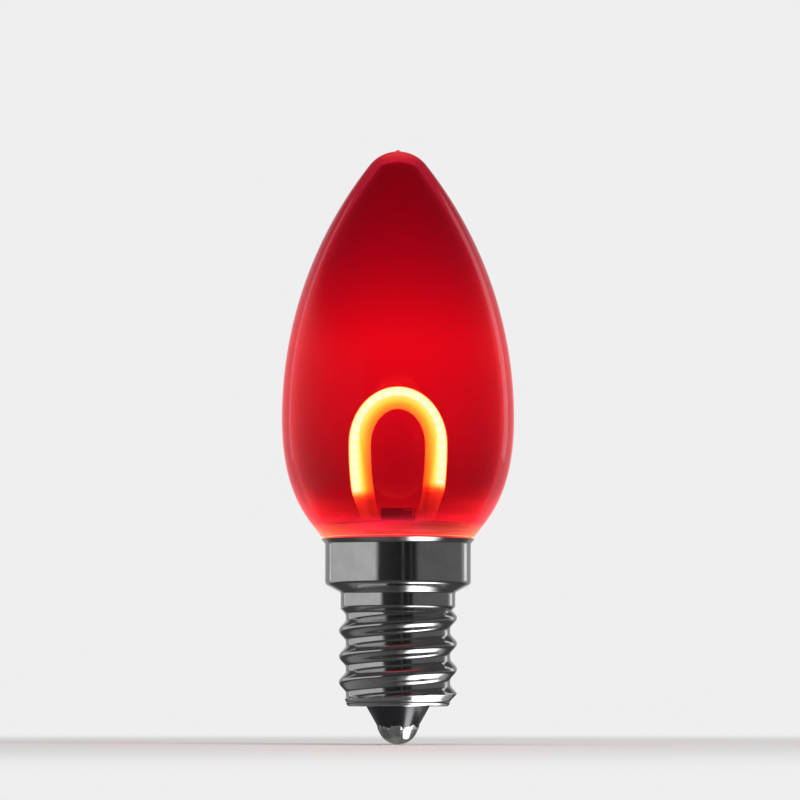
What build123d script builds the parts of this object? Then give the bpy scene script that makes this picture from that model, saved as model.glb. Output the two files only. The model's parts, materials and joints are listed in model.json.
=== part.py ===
from build123d import *

import math
import os

# Screw-in Christmas bulb with a horseshoe LED filament, millimetres and degrees.
# The bulb stands on its axis, +Z up, with the tip of the centre contact at the origin.
# The horseshoe lies in the XZ plane, and -Y is the front.

# Centre contact and insulator
CONTACT_D = 3.9
CONTACT_H = 1.45
EYELET_FLANGE_T = 0.2
EYELET_TUBE_D = 1.7
EYELET_BORE_D = 1.1
INSULATOR_D = 6.26
INSULATOR_DROP = 2.1
INSULATOR_DISC_T = 1.2

# Screw shell, one piece of plated sheet with a right-hand rolled thread
SHEET_T = 0.25
THREAD_D = 11.7
THREAD_ROOT_D = 10.3
THREAD_PITCH = 2.54
THREAD_H = 9.85
THREAD_RUN_OUT = 0.6
THREAD_LAND = 0.25
FLANK_SLOPE = 0.55
FIRST_CREST_DROP = 1.1
FOOT_CORNER_R = 0.4
NECK_D = 11.36
NECK_H = 1.4
STEP_ANGLE = 28
COLLAR_D = 14.44
COLLAR_H = 4.0
COLLAR_CORNER_R = 0.5
LIP_D = 15.2
LIP_H = 0.45

# Envelope, blown in one piece
ENVELOPE_D = 23.06
ENVELOPE_H = 38.4
ENVELOPE_WALL = 1.0
WIDEST_H = 11.85
NOSE_R = 3.6
NUB_D = 0.7
NUB_H = 0.15
BELLY_ANGLE = 34
BELLY_FOOT_SHARE = 0.19
BELLY_CROWN_SHARE = 0.654
STEM_L = 3.0
SEALANT_H = 1.45

# Horseshoe filament
ARCH_R = 3.785
ARCH_H = 10.2
LEG_LEAN = 6.5
LEG_END_H = 1.55
JACKET_W = 2.15
JACKET_DEPTH = 2.0
JACKET_CORNER_R = 0.8
STRIP_W = 1.5
STRIP_T = 0.16
STRIP_INSET = 0.1
CHIP_L = 0.46
CHIP_W = 0.7
CHIP_T = 0.16
CHIP_PITCH = 0.86
CHIP_COUNT = 25

# Driver board and what it carries
BOARD_T = 0.8
BOARD_SHOULDER_H = 0.8
TONGUE_H = 3.1
TAIL_SLOT_L = 1.5
WIRE_D = 0.5
WIRE_SLOT_L = 1.1
SOLDER_R = 0.55
SOLDER_TIP_R = 0.3
SOLDER_H = 0.45
PACKAGE_DRAFT = 6
PACKAGE_STANDOFF = 0.1
LEAD_T = 0.2
LEAD_REACH = 0.8
LEAD_ROOT = 0.3
RECTIFIER_W = 3.8
RECTIFIER_L = 3.0
RECTIFIER_H = 1.3
RECTIFIER_LEAD_W = 0.6
RECTIFIER_LEAD_PITCH = 2.54
REGULATOR_W = 4.4
REGULATOR_L = 2.4
REGULATOR_H = 1.4
REGULATOR_LEAD_W = 0.45
REGULATOR_LEAD_PITCH = 1.5
REGULATOR_TAB_W = 1.6
RESISTOR_L = 1.6
RESISTOR_W = 0.8
RESISTOR_H = 0.45
CAPACITOR_L = 2.0
CAPACITOR_W = 1.2
CAPACITOR_H = 1.0
CAP_L = 0.35
CHIP_ROW_X = 1.9
FUSE_D = 1.9
FUSE_L = 3.4
FUSE_WAIST_D = 1.6
FUSE_BEAD_L = 0.7

# Clearances
FIT = 0.05
STEM_FILM = 0.1
BOARD_CLEARANCE = 0.6
FUSE_CLEARANCE = 0.4
BAY_MARGIN = 0.3

# Rise of the lip's cut edge, which is square to the flared sheet
LIP_OUT = (LIP_D - COLLAR_D) / 2
LIP_EDGE_H = SHEET_T * LIP_OUT / math.hypot(LIP_OUT, LIP_H)

# Heights of the main faces
FLANGE_Z = CONTACT_H
CONE_Z = FLANGE_Z + EYELET_FLANGE_T
FOOT_Z = CONE_Z + INSULATOR_DROP
DISC_Z = FOOT_Z + SHEET_T
DISC_TOP_Z = DISC_Z + INSULATOR_DISC_T
NECK_Z = FOOT_Z + THREAD_H
STEP_Z = NECK_Z + NECK_H
COLLAR_Z = STEP_Z + (COLLAR_D - NECK_D) / 2 * math.tan(math.radians(STEP_ANGLE))
FLARE_Z = COLLAR_Z + COLLAR_H
SEAT_Z = FLARE_Z + LIP_H + LIP_EDGE_H + FIT
STEM_Z = SEAT_Z - STEM_L
SEALANT_Z = SEAT_Z + SEALANT_H
WIDEST_Z = SEAT_Z + WIDEST_H
NOSE_Z = SEAT_Z + ENVELOPE_H
ARCH_Z = SEAT_Z + ARCH_H
LEG_END_Z = SEAT_Z + LEG_END_H
SHOULDER_Z = SEAT_Z + BOARD_SHOULDER_H
TONGUE_Z = SEAT_Z + TONGUE_H
FUSE_Z = DISC_TOP_Z + FUSE_CLEARANCE
BOARD_Z = FUSE_Z + FUSE_L + FUSE_CLEARANCE
BAY_Z = BOARD_Z + WIRE_SLOT_L + BAY_MARGIN
SHELL_LEAD_Z = (COLLAR_Z + STEM_Z) / 2

# Radii and widths that follow from them
NECK_R = NECK_D / 2
ROOT_R = THREAD_ROOT_D / 2
COLLAR_R = COLLAR_D / 2
FOOT_HOLE_R = INSULATOR_D / 2 + FIT
BORE_R = ROOT_R - SHEET_T
COLLAR_BORE_R = COLLAR_R - SHEET_T
STEM_R = COLLAR_BORE_R - STEM_FILM
BOARD_HALF_W = math.sqrt((BORE_R - BOARD_CLEARANCE) ** 2 - (BOARD_T / 2) ** 2)
ARCH_REACH = ARCH_R * math.radians(90 + LEG_LEAN)


def turned(edges):
    """Solid of revolution from a closed outline of radius and height."""
    return revolve(Plane.XZ * make_face(edges), Axis.Z)


def turned_polygon(*points):
    """Solid of revolution from corner points of radius and height."""
    return turned(Polyline(*points, close=True))


def inner_side(points, radii, thickness):
    """Line that runs to the left of a bent line of points at one thickness from it."""
    line = [Vector(*point) for point in points]
    runs = [(after - before).normalized() for before, after in zip(line, line[1:])]
    lefts = [Vector(-run.Y, run.X) for run in runs]
    offset = [line[0] + lefts[0] * thickness]
    offset_radii = []
    for corner, first, second, radius in zip(line[1:], lefts, lefts[1:], radii):
        bisector = (first + second).normalized()
        offset.append(corner + bisector * (thickness / bisector.dot(first)))
        turns_left = first.cross(second).Z > 0
        inside = max(radius - thickness, 0) if turns_left else radius + thickness
        offset_radii.append(inside if radius > 0 else 0)
    offset.append(line[-1] + lefts[-1] * thickness)
    return FilletPolyline(*offset, radius=offset_radii)


def bent_sheet(points, radii, thickness):
    """Section of a sheet bent along a line of points, with its thickness to the left of the line."""
    near = FilletPolyline(*points, radius=radii)
    far = inner_side(points, radii, thickness)
    ends = [Line(near @ 0, far @ 0), Line(near @ 1, far @ 1)]
    return make_face(near.edges() + far.edges() + ends)


# Screw cap


def shell_line():
    """Outside of the shell's sheet as radius and height, from its foot to its lip, and its bend radii."""
    points = [
        (FOOT_HOLE_R, FOOT_Z),
        (ROOT_R, FOOT_Z),
        (ROOT_R, NECK_Z - THREAD_RUN_OUT),
        (NECK_R, NECK_Z),
        (NECK_R, STEP_Z),
        (COLLAR_R, COLLAR_Z),
        (COLLAR_R, FLARE_Z),
        (LIP_D / 2, FLARE_Z + LIP_H),
    ]
    radii = [FOOT_CORNER_R, 0, 0, 0, COLLAR_CORNER_R, 0]
    return points, radii


def thread_ridge():
    """Round ridge on a right-hand helix, from below the foot to above the thread's upper end."""
    depth = (THREAD_D - THREAD_ROOT_D) / 2
    half_w = (THREAD_PITCH - THREAD_LAND) / 2
    sunk = -SHEET_T / 2
    first_crest = NECK_Z - FIRST_CREST_DROP
    turns_below = math.ceil((first_crest - FOOT_Z + half_w) / THREAD_PITCH)
    start_z = first_crest - turns_below * THREAD_PITCH
    helix = Pos(0, 0, start_z) * Helix(THREAD_PITCH, NECK_Z + half_w - start_z, ROOT_R)
    crest = Spline(
        (sunk, -half_w),
        (depth, 0),
        (sunk, half_w),
        tangents=[(FLANK_SLOPE, 1), (0, 1), (-FLANK_SLOPE, 1)],
    )
    section = make_face([crest, Line((sunk, half_w), (sunk, -half_w))])
    across = Plane(origin=helix @ 0, x_dir=(1, 0, 0), z_dir=helix % 0)
    return sweep(across * section, path=helix, is_frenet=True)


def thread_waste():
    """What is cut off the ridge: cones at 45 degrees, where the thread's ends run out into the sheet."""
    reach = THREAD_D
    low_r = ROOT_R - SHEET_T / 2
    low_z = FOOT_Z + FOOT_CORNER_R
    under_z = FOOT_Z - 2 * THREAD_PITCH
    below = turned_polygon(
        (0, under_z), (reach, under_z), (reach, low_z + reach - low_r), (low_r, low_z), (0, low_z)
    )
    high_r = NECK_R - SHEET_T / 2
    over_z = NECK_Z + 2 * THREAD_PITCH
    above = turned_polygon(
        (0, NECK_Z), (high_r, NECK_Z), (reach, NECK_Z - reach + high_r), (reach, over_z), (0, over_z)
    )
    return [below, above]


def screw_shell():
    """Screw shell, one sheet from the foot to the flared lip, with its thread."""
    points, radii = shell_line()
    sheet = revolve(Plane.XZ * bent_sheet(points, radii, SHEET_T), Axis.Z)
    inside = inner_side(points, radii, SHEET_T)
    low = (0, (inside @ 0).Y)
    high = (0, (inside @ 1).Y)
    hollow = turned(inside.edges() + [Line(low, inside @ 0), Line(inside @ 1, high), Line(high, low)])
    thread = thread_ridge()
    for waste in thread_waste():
        thread -= waste
    return sheet + (thread - hollow)


def base_insulator():
    """Black insulator: a cone under the shell and a disc on the shell's foot, bored for the eyelet."""
    neck_r = INSULATOR_D / 2
    disc_r = BORE_R - FIT
    bore_r = EYELET_TUBE_D / 2 + FIT
    return turned_polygon(
        (bore_r, CONE_Z),
        (CONTACT_D / 2, CONE_Z),
        (neck_r, FOOT_Z),
        (neck_r, DISC_Z),
        (disc_r - FOOT_CORNER_R, DISC_Z),
        (disc_r, DISC_Z + FOOT_CORNER_R),
        (disc_r, DISC_TOP_Z),
        (bore_r, DISC_TOP_Z),
    )


def contact_eyelet():
    """Brass eyelet: a flange under the cone and a tube up through the insulator."""
    return turned_polygon(
        (EYELET_BORE_D / 2, FLANGE_Z),
        (CONTACT_D / 2, FLANGE_Z),
        (CONTACT_D / 2, CONE_Z),
        (EYELET_TUBE_D / 2, CONE_Z),
        (EYELET_TUBE_D / 2, DISC_TOP_Z),
        (EYELET_BORE_D / 2, DISC_TOP_Z),
    )


def contact_solder(lead):
    """Rounded solder dome of the centre contact, round the end of the lead."""
    rim = (CONTACT_D / 2, FLANGE_Z)
    edges = [Line((0, 0), (0, FLANGE_Z)), Line((0, FLANGE_Z), rim), TangentArc((0, 0), rim, tangent=(1, 0))]
    return turned(edges) - lead


# Envelope


def envelope_body(inset):
    """Solid inside the envelope's surface, set in by a wall: 0 for the outside, the wall for the hollow."""
    belly = math.radians(BELLY_ANGLE)
    slope = Vector(math.sin(belly), math.cos(belly))
    outward = Vector(math.cos(belly), -math.sin(belly))
    foot = Vector(LIP_D / 2, SEAT_Z) - outward * inset
    widest = Vector(ENVELOPE_D / 2 - inset, WIDEST_Z)
    rise = widest.Y - foot.Y
    foot_pull = foot + slope * (BELLY_FOOT_SHARE * rise)
    crown_pull = widest - Vector(0, BELLY_CROWN_SHARE * rise)
    nose_r = NOSE_R - inset
    nose_centre = Vector(0, NOSE_Z - NOSE_R)
    lift = nose_centre.Y - widest.Y
    ogive_r = (widest.X**2 + lift**2 - nose_r**2) / (2 * (widest.X - nose_r))
    ogive_centre = Vector(widest.X - ogive_r, widest.Y)
    join = nose_centre + (nose_centre - ogive_centre).normalized() * nose_r
    nose = nose_centre + Vector(0, nose_r)
    stem_r = STEM_R - inset
    if inset > 0:
        shoulder = foot - slope * ((foot.X - stem_r) / slope.X)
    else:
        shoulder = Vector(stem_r, SEAT_Z)
    edges = [
        Line((0, STEM_Z), (stem_r, STEM_Z)),
        Line((stem_r, STEM_Z), shoulder),
        Line(shoulder, foot),
        Bezier(foot, foot_pull, crown_pull, widest),
        TangentArc(widest, join, tangent=(0, 1)),
        TangentArc(nose, join, tangent=(1, 0)),
        Line(nose, (0, STEM_Z)),
    ]
    return turned(edges)


def envelope():
    """Red envelope: an even wall with a stem for the collar and a nub where it was blown."""
    nub = Pos(0, 0, NOSE_Z + NUB_H - NUB_D / 2) * Sphere(NUB_D / 2)
    return envelope_body(0) - envelope_body(ENVELOPE_WALL) + nub


def neck_sealant(*embedded):
    """Sealing compound that fills the neck of the envelope round the board and the filament's tails."""
    fill = SEALANT_Z - STEM_Z
    slab = Pos(0, 0, STEM_Z) * Cylinder(ENVELOPE_D, fill, align=(Align.CENTER, Align.CENTER, Align.MIN))
    return (envelope_body(ENVELOPE_WALL) & slab) - list(embedded)


# Horseshoe filament


def filament_frame(reach):
    """Place, direction and outward normal on the horseshoe's line, by the distance from its crown."""
    held = min(max(reach, -ARCH_REACH), ARCH_REACH)
    turn = held / ARCH_R
    outward = Vector(math.sin(turn), 0, math.cos(turn))
    along = Vector(math.cos(turn), 0, -math.sin(turn))
    place = Vector(0, 0, ARCH_Z) + outward * ARCH_R + along * (reach - held)
    return place, along, outward


def leg_length(height):
    """Length of a leg from the end of the arch down to a height."""
    place, along, _ = filament_frame(ARCH_REACH)
    return (height - place.Z) / along.Z


def horseshoe(section, leg):
    """Solid of one section round the arch and down both legs; the section's X points outwards."""
    solids = []
    for side in (-1, 1):
        place, along, outward = filament_frame(side * ARCH_REACH)
        face = Plane(origin=place, x_dir=outward, z_dir=along) * section
        if side < 0:
            arch_axis = Axis((0, 0, ARCH_Z), (0, 1, 0))
            solids.append(revolve(face, arch_axis, revolution_arc=180 + 2 * LEG_LEAN))
        solids.append(extrude(face, amount=side * leg))
    return solids[0] + solids[1:]


def filament_strip():
    """Flexible strip with its two tails, which end in the board's slots."""
    section = Pos(-STRIP_INSET, 0) * Rectangle(STRIP_T, STRIP_W)
    return horseshoe(section, leg_length(SHOULDER_Z - TAIL_SLOT_L))


def led_chips():
    """Chips in a row on the outer face of the strip, even about the crown."""
    lift = STRIP_T / 2 - STRIP_INSET + CHIP_T / 2
    chips = []
    for index in range(CHIP_COUNT):
        place, along, outward = filament_frame((index - (CHIP_COUNT - 1) / 2) * CHIP_PITCH)
        seat = Plane(origin=place + outward * lift, x_dir=along, z_dir=(0, -1, 0))
        chips.append(seat * Box(CHIP_L, CHIP_T, CHIP_W))
    return chips


def filament_jacket(strip, chips):
    """Silicone jacket moulded round the strip and its chips, cut level at both ends."""
    section = RectangleRounded(JACKET_W, JACKET_DEPTH, JACKET_CORNER_R)
    whole = horseshoe(section, leg_length(LEG_END_Z - JACKET_W))
    below = Pos(0, 0, LEG_END_Z) * Box(
        4 * ARCH_R, 2 * JACKET_DEPTH, 2 * JACKET_W, align=(Align.CENTER, Align.CENTER, Align.MAX)
    )
    return whole - below - strip - chips


# Driver


def tail_place():
    """Middle of a tail in its slot: the distance from the axis and the height."""
    place, along, outward = filament_frame(ARCH_REACH + leg_length(SHOULDER_Z - TAIL_SLOT_L / 2))
    middle = place - outward * STRIP_INSET
    return middle.X, middle.Z


def driver_board():
    """Upright board: a tongue between the legs, slots for the tails, the fuse lead and the shell lead."""
    place, _, _ = filament_frame(ARCH_REACH + leg_length(LEG_END_Z))
    lean = math.cos(math.radians(LEG_LEAN))
    tongue_half = place.X - JACKET_W / 2 / lean - FIT
    outline = Polyline(
        (-BOARD_HALF_W, BOARD_Z),
        (BOARD_HALF_W, BOARD_Z),
        (BOARD_HALF_W, SHOULDER_Z),
        (tongue_half, SHOULDER_Z),
        (tongue_half, TONGUE_Z),
        (-tongue_half, TONGUE_Z),
        (-tongue_half, SHOULDER_Z),
        (-BOARD_HALF_W, SHOULDER_Z),
        close=True,
    )
    tail_slot = Rectangle(STRIP_T + 2 * FIT, TAIL_SLOT_L + 2 * FIT)
    tail_x, tail_z = tail_place()
    cuts = []
    for side in (-1, 1):
        cuts.append(Pos(side * tail_x, tail_z) * Rot(0, 0, -side * LEG_LEAN) * tail_slot)
    fuse_slot = Rectangle(WIRE_D + 2 * FIT, 2 * WIRE_SLOT_L)
    cuts.append(Pos(0, BOARD_Z) * fuse_slot)
    shell_slot = Rectangle(2 * WIRE_SLOT_L, WIRE_D + 2 * FIT)
    cuts.append(Pos(-BOARD_HALF_W, SHELL_LEAD_Z) * shell_slot)
    return extrude(Plane.XZ * (make_face(outline) - cuts), amount=BOARD_T / 2, both=True)


def board_face(front):
    """Plane on a face of the board: local X is across, local Y is the height, local Z stands off."""
    side = -1 if front else 1
    return Plane(origin=(0, side * BOARD_T / 2, 0), x_dir=(-side, 0, 0), z_dir=(0, side, 0))


def solder_joints(x, z, held):
    """Solder cones on both faces of the board at one place, round what they hold."""
    joints = []
    for front in (True, False):
        across = x if front else -x
        cone = Cone(SOLDER_R, SOLDER_TIP_R, SOLDER_H, align=(Align.CENTER, Align.CENTER, Align.MIN))
        joints += (board_face(front) * Pos(across, z) * cone - held).solids()
    return joints


def gull_lead(width, x, edge, mid_height, side):
    """Bent lead of a package: out of its side, down to the board and along it."""
    foot = edge + LEAD_REACH
    knee = edge + LEAD_REACH / 2
    points = [(edge - LEAD_ROOT, mid_height), (knee, mid_height), (knee, 0), (foot, 0)]
    section = bent_sheet(points, [LEAD_T / 2, LEAD_T], LEAD_T)
    upright = Plane(origin=(x - side * width / 2, 0, 0), x_dir=(0, side, 0), z_dir=(side, 0, 0))
    return extrude(upright * section, amount=width)


def package(width, length, height, low_leads, high_leads):
    """Moulded package on its leads, in a frame that lies on the board: the body, then the leads."""
    block = extrude(Rectangle(width, length), amount=height, taper=PACKAGE_DRAFT)
    body = Pos(0, 0, PACKAGE_STANDOFF) * block
    mid_height = PACKAGE_STANDOFF + height / 2
    leads = [gull_lead(lead_w, x, length / 2, mid_height, -1) for x, lead_w in low_leads]
    leads += [gull_lead(lead_w, x, length / 2, mid_height, 1) for x, lead_w in high_leads]
    return body - leads, leads


def rectifier():
    """Bridge rectifier on the front of the board, two leads above and two below."""
    pair = [(side * RECTIFIER_LEAD_PITCH / 2, RECTIFIER_LEAD_W) for side in (-1, 1)]
    body, leads = package(RECTIFIER_W, RECTIFIER_L, RECTIFIER_H, pair, pair)
    seat = board_face(True) * Pos(0, (BAY_Z + STEM_Z) / 2)
    return seat * body, [seat * lead for lead in leads]


def regulator():
    """Current regulator on the back of the board, three leads below and a tab above."""
    low = [(place * REGULATOR_LEAD_PITCH, REGULATOR_LEAD_W) for place in (-1, 0, 1)]
    body, leads = package(REGULATOR_W, REGULATOR_L, REGULATOR_H, low, [(0, REGULATOR_TAB_W)])
    seat = board_face(False) * Pos(0, BAY_Z + LEAD_REACH + REGULATOR_L / 2)
    return seat * body, [seat * lead for lead in leads]


def chip_part(x, length, width, height):
    """Chip with two plated ends on the back of the board: the body, then its end caps."""
    seat = board_face(False) * Pos(x, STEM_Z - BAY_MARGIN - CAPACITOR_W / 2)
    flat = (Align.CENTER, Align.CENTER, Align.MIN)
    body = seat * Box(length - 2 * CAP_L, width, height, align=flat)
    caps = []
    for side in (-1, 1):
        caps.append(seat * Pos(side * (length - CAP_L) / 2) * Box(CAP_L, width, height, align=flat))
    return body, caps


def fuse_resistor():
    """Fusible resistor, upright on the axis: a waisted body with a bead at each end."""
    top = FUSE_Z + FUSE_L
    bead_r = FUSE_D / 2
    waist_r = FUSE_WAIST_D / 2
    return turned_polygon(
        (0, FUSE_Z),
        (bead_r, FUSE_Z),
        (bead_r, FUSE_Z + FUSE_BEAD_L),
        (waist_r, FUSE_Z + FUSE_BEAD_L),
        (waist_r, top - FUSE_BEAD_L),
        (bead_r, top - FUSE_BEAD_L),
        (bead_r, top),
        (0, top),
    )


def fuse_leads():
    """Two leads of the fuse: one up into the board's slot, one down through the eyelet to the contact."""
    upright = (Align.CENTER, Align.CENTER, Align.MIN)
    lower_z = CONTACT_H / 2
    upper_z = FUSE_Z + FUSE_L
    upper = Pos(0, 0, upper_z) * Cylinder(WIRE_D / 2, BOARD_Z + WIRE_SLOT_L - FIT - upper_z, align=upright)
    lower = Pos(0, 0, lower_z) * Cylinder(WIRE_D / 2, FUSE_Z - lower_z, align=upright)
    return [upper, lower]


def shell_lead():
    """Wire from the slot in the board's edge out to the collar, with its end turned up the wall."""
    inner_x = -BOARD_HALF_W + WIRE_SLOT_L - FIT
    wall_x = -(COLLAR_BORE_R - WIRE_D / 2 - FIT)
    end_z = STEM_Z - FIT
    path = FilletPolyline(
        (inner_x, 0, SHELL_LEAD_Z), (wall_x, 0, SHELL_LEAD_Z), (wall_x, 0, end_z), radius=WIRE_D
    )
    return sweep(Plane(origin=(inner_x, 0, SHELL_LEAD_Z), z_dir=(-1, 0, 0)) * Circle(WIRE_D / 2), path)


def shell_lead_solder(wire):
    """Joints of the shell lead: a cone on each face of the board and a blob on the collar's wall."""
    joints = solder_joints(-BOARD_HALF_W + WIRE_SLOT_L / 2, SHELL_LEAD_Z, wire)
    room = STEM_Z - FIT - COLLAR_Z
    upright = (Align.CENTER, Align.CENTER, Align.MIN)
    bore = Pos(0, 0, COLLAR_Z) * Cylinder(COLLAR_BORE_R, room, align=upright)
    wall_place = Pos(-COLLAR_BORE_R, 0, (SHELL_LEAD_Z + STEM_Z) / 2) * Rot(0, 90, 0)
    blob = wall_place * Cylinder(WIRE_D, 2 * WIRE_D)
    return joints + ((blob & bore) - wire).solids()


def main():
    """Build every piece and write one file for each node."""
    strip = filament_strip()
    chips = led_chips()
    board = driver_board()
    tail_x, tail_z = tail_place()
    tail_joints = solder_joints(-tail_x, tail_z, strip) + solder_joints(tail_x, tail_z, strip)
    rectifier_body, rectifier_leads = rectifier()
    regulator_body, regulator_leads = regulator()
    resistor, resistor_caps = chip_part(-CHIP_ROW_X, RESISTOR_L, RESISTOR_W, RESISTOR_H)
    capacitor, capacitor_caps = chip_part(CHIP_ROW_X, CAPACITOR_L, CAPACITOR_W, CAPACITOR_H)
    leads = fuse_leads()
    wire = shell_lead()
    nodes = {
        "envelope": envelope(),
        "filament_jacket": filament_jacket(strip, chips),
        "filament_strip": strip,
        "led_chips": chips,
        "driver_board": board,
        "filament_solder": tail_joints,
        "rectifier_body": rectifier_body,
        "rectifier_leads": rectifier_leads,
        "regulator_body": regulator_body,
        "regulator_leads": regulator_leads,
        "sense_resistor": resistor,
        "smoothing_capacitor": capacitor,
        "chip_end_caps": resistor_caps + capacitor_caps,
        "fuse_resistor": fuse_resistor(),
        "fuse_leads": leads,
        "fuse_solder": solder_joints(0, BOARD_Z + WIRE_SLOT_L / 2, leads[0]),
        "shell_lead": wire,
        "shell_lead_solder": shell_lead_solder(wire),
        "neck_sealant": neck_sealant(board, strip, *tail_joints),
        "screw_shell": screw_shell(),
        "base_insulator": base_insulator(),
        "contact_eyelet": contact_eyelet(),
        "contact_solder": contact_solder(leads[1]),
    }
    os.makedirs("parts", exist_ok=True)
    for name, shape in nodes.items():
        pieces = shape if isinstance(shape, list) else [shape]
        solids = [solid for piece in pieces for solid in piece.solids()]
        export_step(Compound(children=solids), f"parts/{name}.step")


main()
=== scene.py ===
"""Screw-in Christmas bulb, lit: the looks of its pieces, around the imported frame.

Sizes are millimetres and degrees, and meshes are made in metres in the frame's own axes: +Z runs from
the centre contact to the nose, the horseshoe filament lies in the XZ plane, and -Y is the front.
"""

from __future__ import annotations

import json
import logging
import math
from dataclasses import dataclass
from enum import Enum
from typing import Iterable, Optional, Sequence, Union

import bmesh
import bpy
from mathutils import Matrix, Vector

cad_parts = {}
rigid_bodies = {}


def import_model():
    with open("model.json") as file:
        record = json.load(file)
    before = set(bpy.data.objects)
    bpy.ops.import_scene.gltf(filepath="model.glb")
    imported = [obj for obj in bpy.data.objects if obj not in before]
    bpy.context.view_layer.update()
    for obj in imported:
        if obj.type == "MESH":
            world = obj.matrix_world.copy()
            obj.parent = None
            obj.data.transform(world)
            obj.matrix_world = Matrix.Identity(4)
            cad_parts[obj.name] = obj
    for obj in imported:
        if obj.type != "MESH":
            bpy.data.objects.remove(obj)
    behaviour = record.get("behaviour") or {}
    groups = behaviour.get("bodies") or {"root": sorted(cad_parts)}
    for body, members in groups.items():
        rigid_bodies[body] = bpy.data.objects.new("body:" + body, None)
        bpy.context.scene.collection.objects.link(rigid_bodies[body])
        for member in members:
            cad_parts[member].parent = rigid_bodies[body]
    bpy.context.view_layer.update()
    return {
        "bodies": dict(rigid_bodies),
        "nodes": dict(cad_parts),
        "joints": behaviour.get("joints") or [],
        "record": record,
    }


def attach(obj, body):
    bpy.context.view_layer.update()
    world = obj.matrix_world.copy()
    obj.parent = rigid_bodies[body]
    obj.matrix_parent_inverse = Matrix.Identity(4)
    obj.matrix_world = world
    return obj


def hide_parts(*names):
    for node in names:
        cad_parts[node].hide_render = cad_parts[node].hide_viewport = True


LOG = logging.getLogger("bulb")

Point = tuple[float, float]
Place = tuple[float, float, float]
Colour = tuple[float, float, float]
Stops = tuple[tuple[float, Colour], ...]
Socket = bpy.types.NodeSocket
Piece = bpy.types.Object
Nodes = dict[str, Piece]
Value = Union[float, Sequence[float], Socket, bpy.types.Material]

MM = 0.001
BODY = "root"
MERGE_DISTANCE = 1e-7


# Outlines of radius and height


def arc_points(centre: Point, radius: float, start: float, end: float, steps: int) -> list[Point]:
    """Points on an arc.

    Args:
        centre: Middle of the arc.
        radius: Radius of the arc.
        start: Angle of the first point, from the direction of growing radius.
        end: Angle of the last point.
        steps: Number of stretches between points.

    Returns:
        The points, both ends included.
    """
    angles = [math.radians(start + (end - start) * step / steps) for step in range(steps + 1)]
    return [(centre[0] + radius * math.cos(a), centre[1] + radius * math.sin(a)) for a in angles]


def bezier_points(corners: Sequence[Point], steps: int) -> list[Point]:
    """Points on a cubic curve.

    Args:
        corners: First end, its pull, the other end's pull, and the other end.
        steps: Number of stretches between points.

    Returns:
        The points, both ends included.
    """
    found = []
    for step in range(steps + 1):
        t = step / steps
        weights = ((1 - t) ** 3, 3 * t * (1 - t) ** 2, 3 * t * t * (1 - t), t**3)
        found.append(tuple(sum(w * c[axis] for w, c in zip(weights, corners)) for axis in (0, 1)))
    return found


def straight_points(first: Point, last: Point, steps: int) -> list[Point]:
    """Points on a straight run.

    Args:
        first: First end.
        last: Last end.
        steps: Number of stretches between points.

    Returns:
        The points, both ends included.
    """
    across, up = last[0] - first[0], last[1] - first[1]
    places = range(steps + 1)
    return [(first[0] + across * step / steps, first[1] + up * step / steps) for step in places]


def rounded_line(corners: Sequence[Point], radii: Sequence[float], steps: int = 6) -> list[Point]:
    """Line through corner points with its inner corners rounded.

    Args:
        corners: Ends and corners, in order.
        radii: Radius of each inner corner.
        steps: Number of stretches on each rounded corner.

    Returns:
        The points of the line.
    """
    line = [corners[0]]
    for before, corner, after, radius in zip(corners, corners[1:], corners[2:], radii):
        here = Vector(corner)
        back = (Vector(before) - here).normalized()
        ahead = (Vector(after) - here).normalized()
        half = back.angle(ahead) / 2
        reach = radius / math.tan(half)
        centre = here + (back + ahead).normalized() * (radius / math.sin(half))
        first = here + back * reach - centre
        last = here + ahead * reach - centre
        for step in range(steps + 1):
            spoke = first.lerp(last, step / steps).normalized() * radius
            line.append(tuple(centre + spoke))
    line.append(corners[-1])
    return line


def offset_corners(corners: Sequence[Point], thickness: float) -> list[Point]:
    """Corner points of the line that runs to the left of another at one distance.

    Args:
        corners: Ends and corners of the first line.
        thickness: Distance between the lines.

    Returns:
        Ends and corners of the second line.
    """
    line = [Vector(corner) for corner in corners]
    lefts = []
    for before, after in zip(line, line[1:]):
        run = (after - before).normalized()
        lefts.append(Vector((-run.y, run.x)))
    found = [line[0] + lefts[0] * thickness]
    for corner, first, second in zip(line[1:], lefts, lefts[1:]):
        middle = (first + second).normalized()
        found.append(corner + middle * (thickness / middle.dot(first)))
    found.append(line[-1] + lefts[-1] * thickness)
    return [tuple(point) for point in found]


# Node trees


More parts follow.
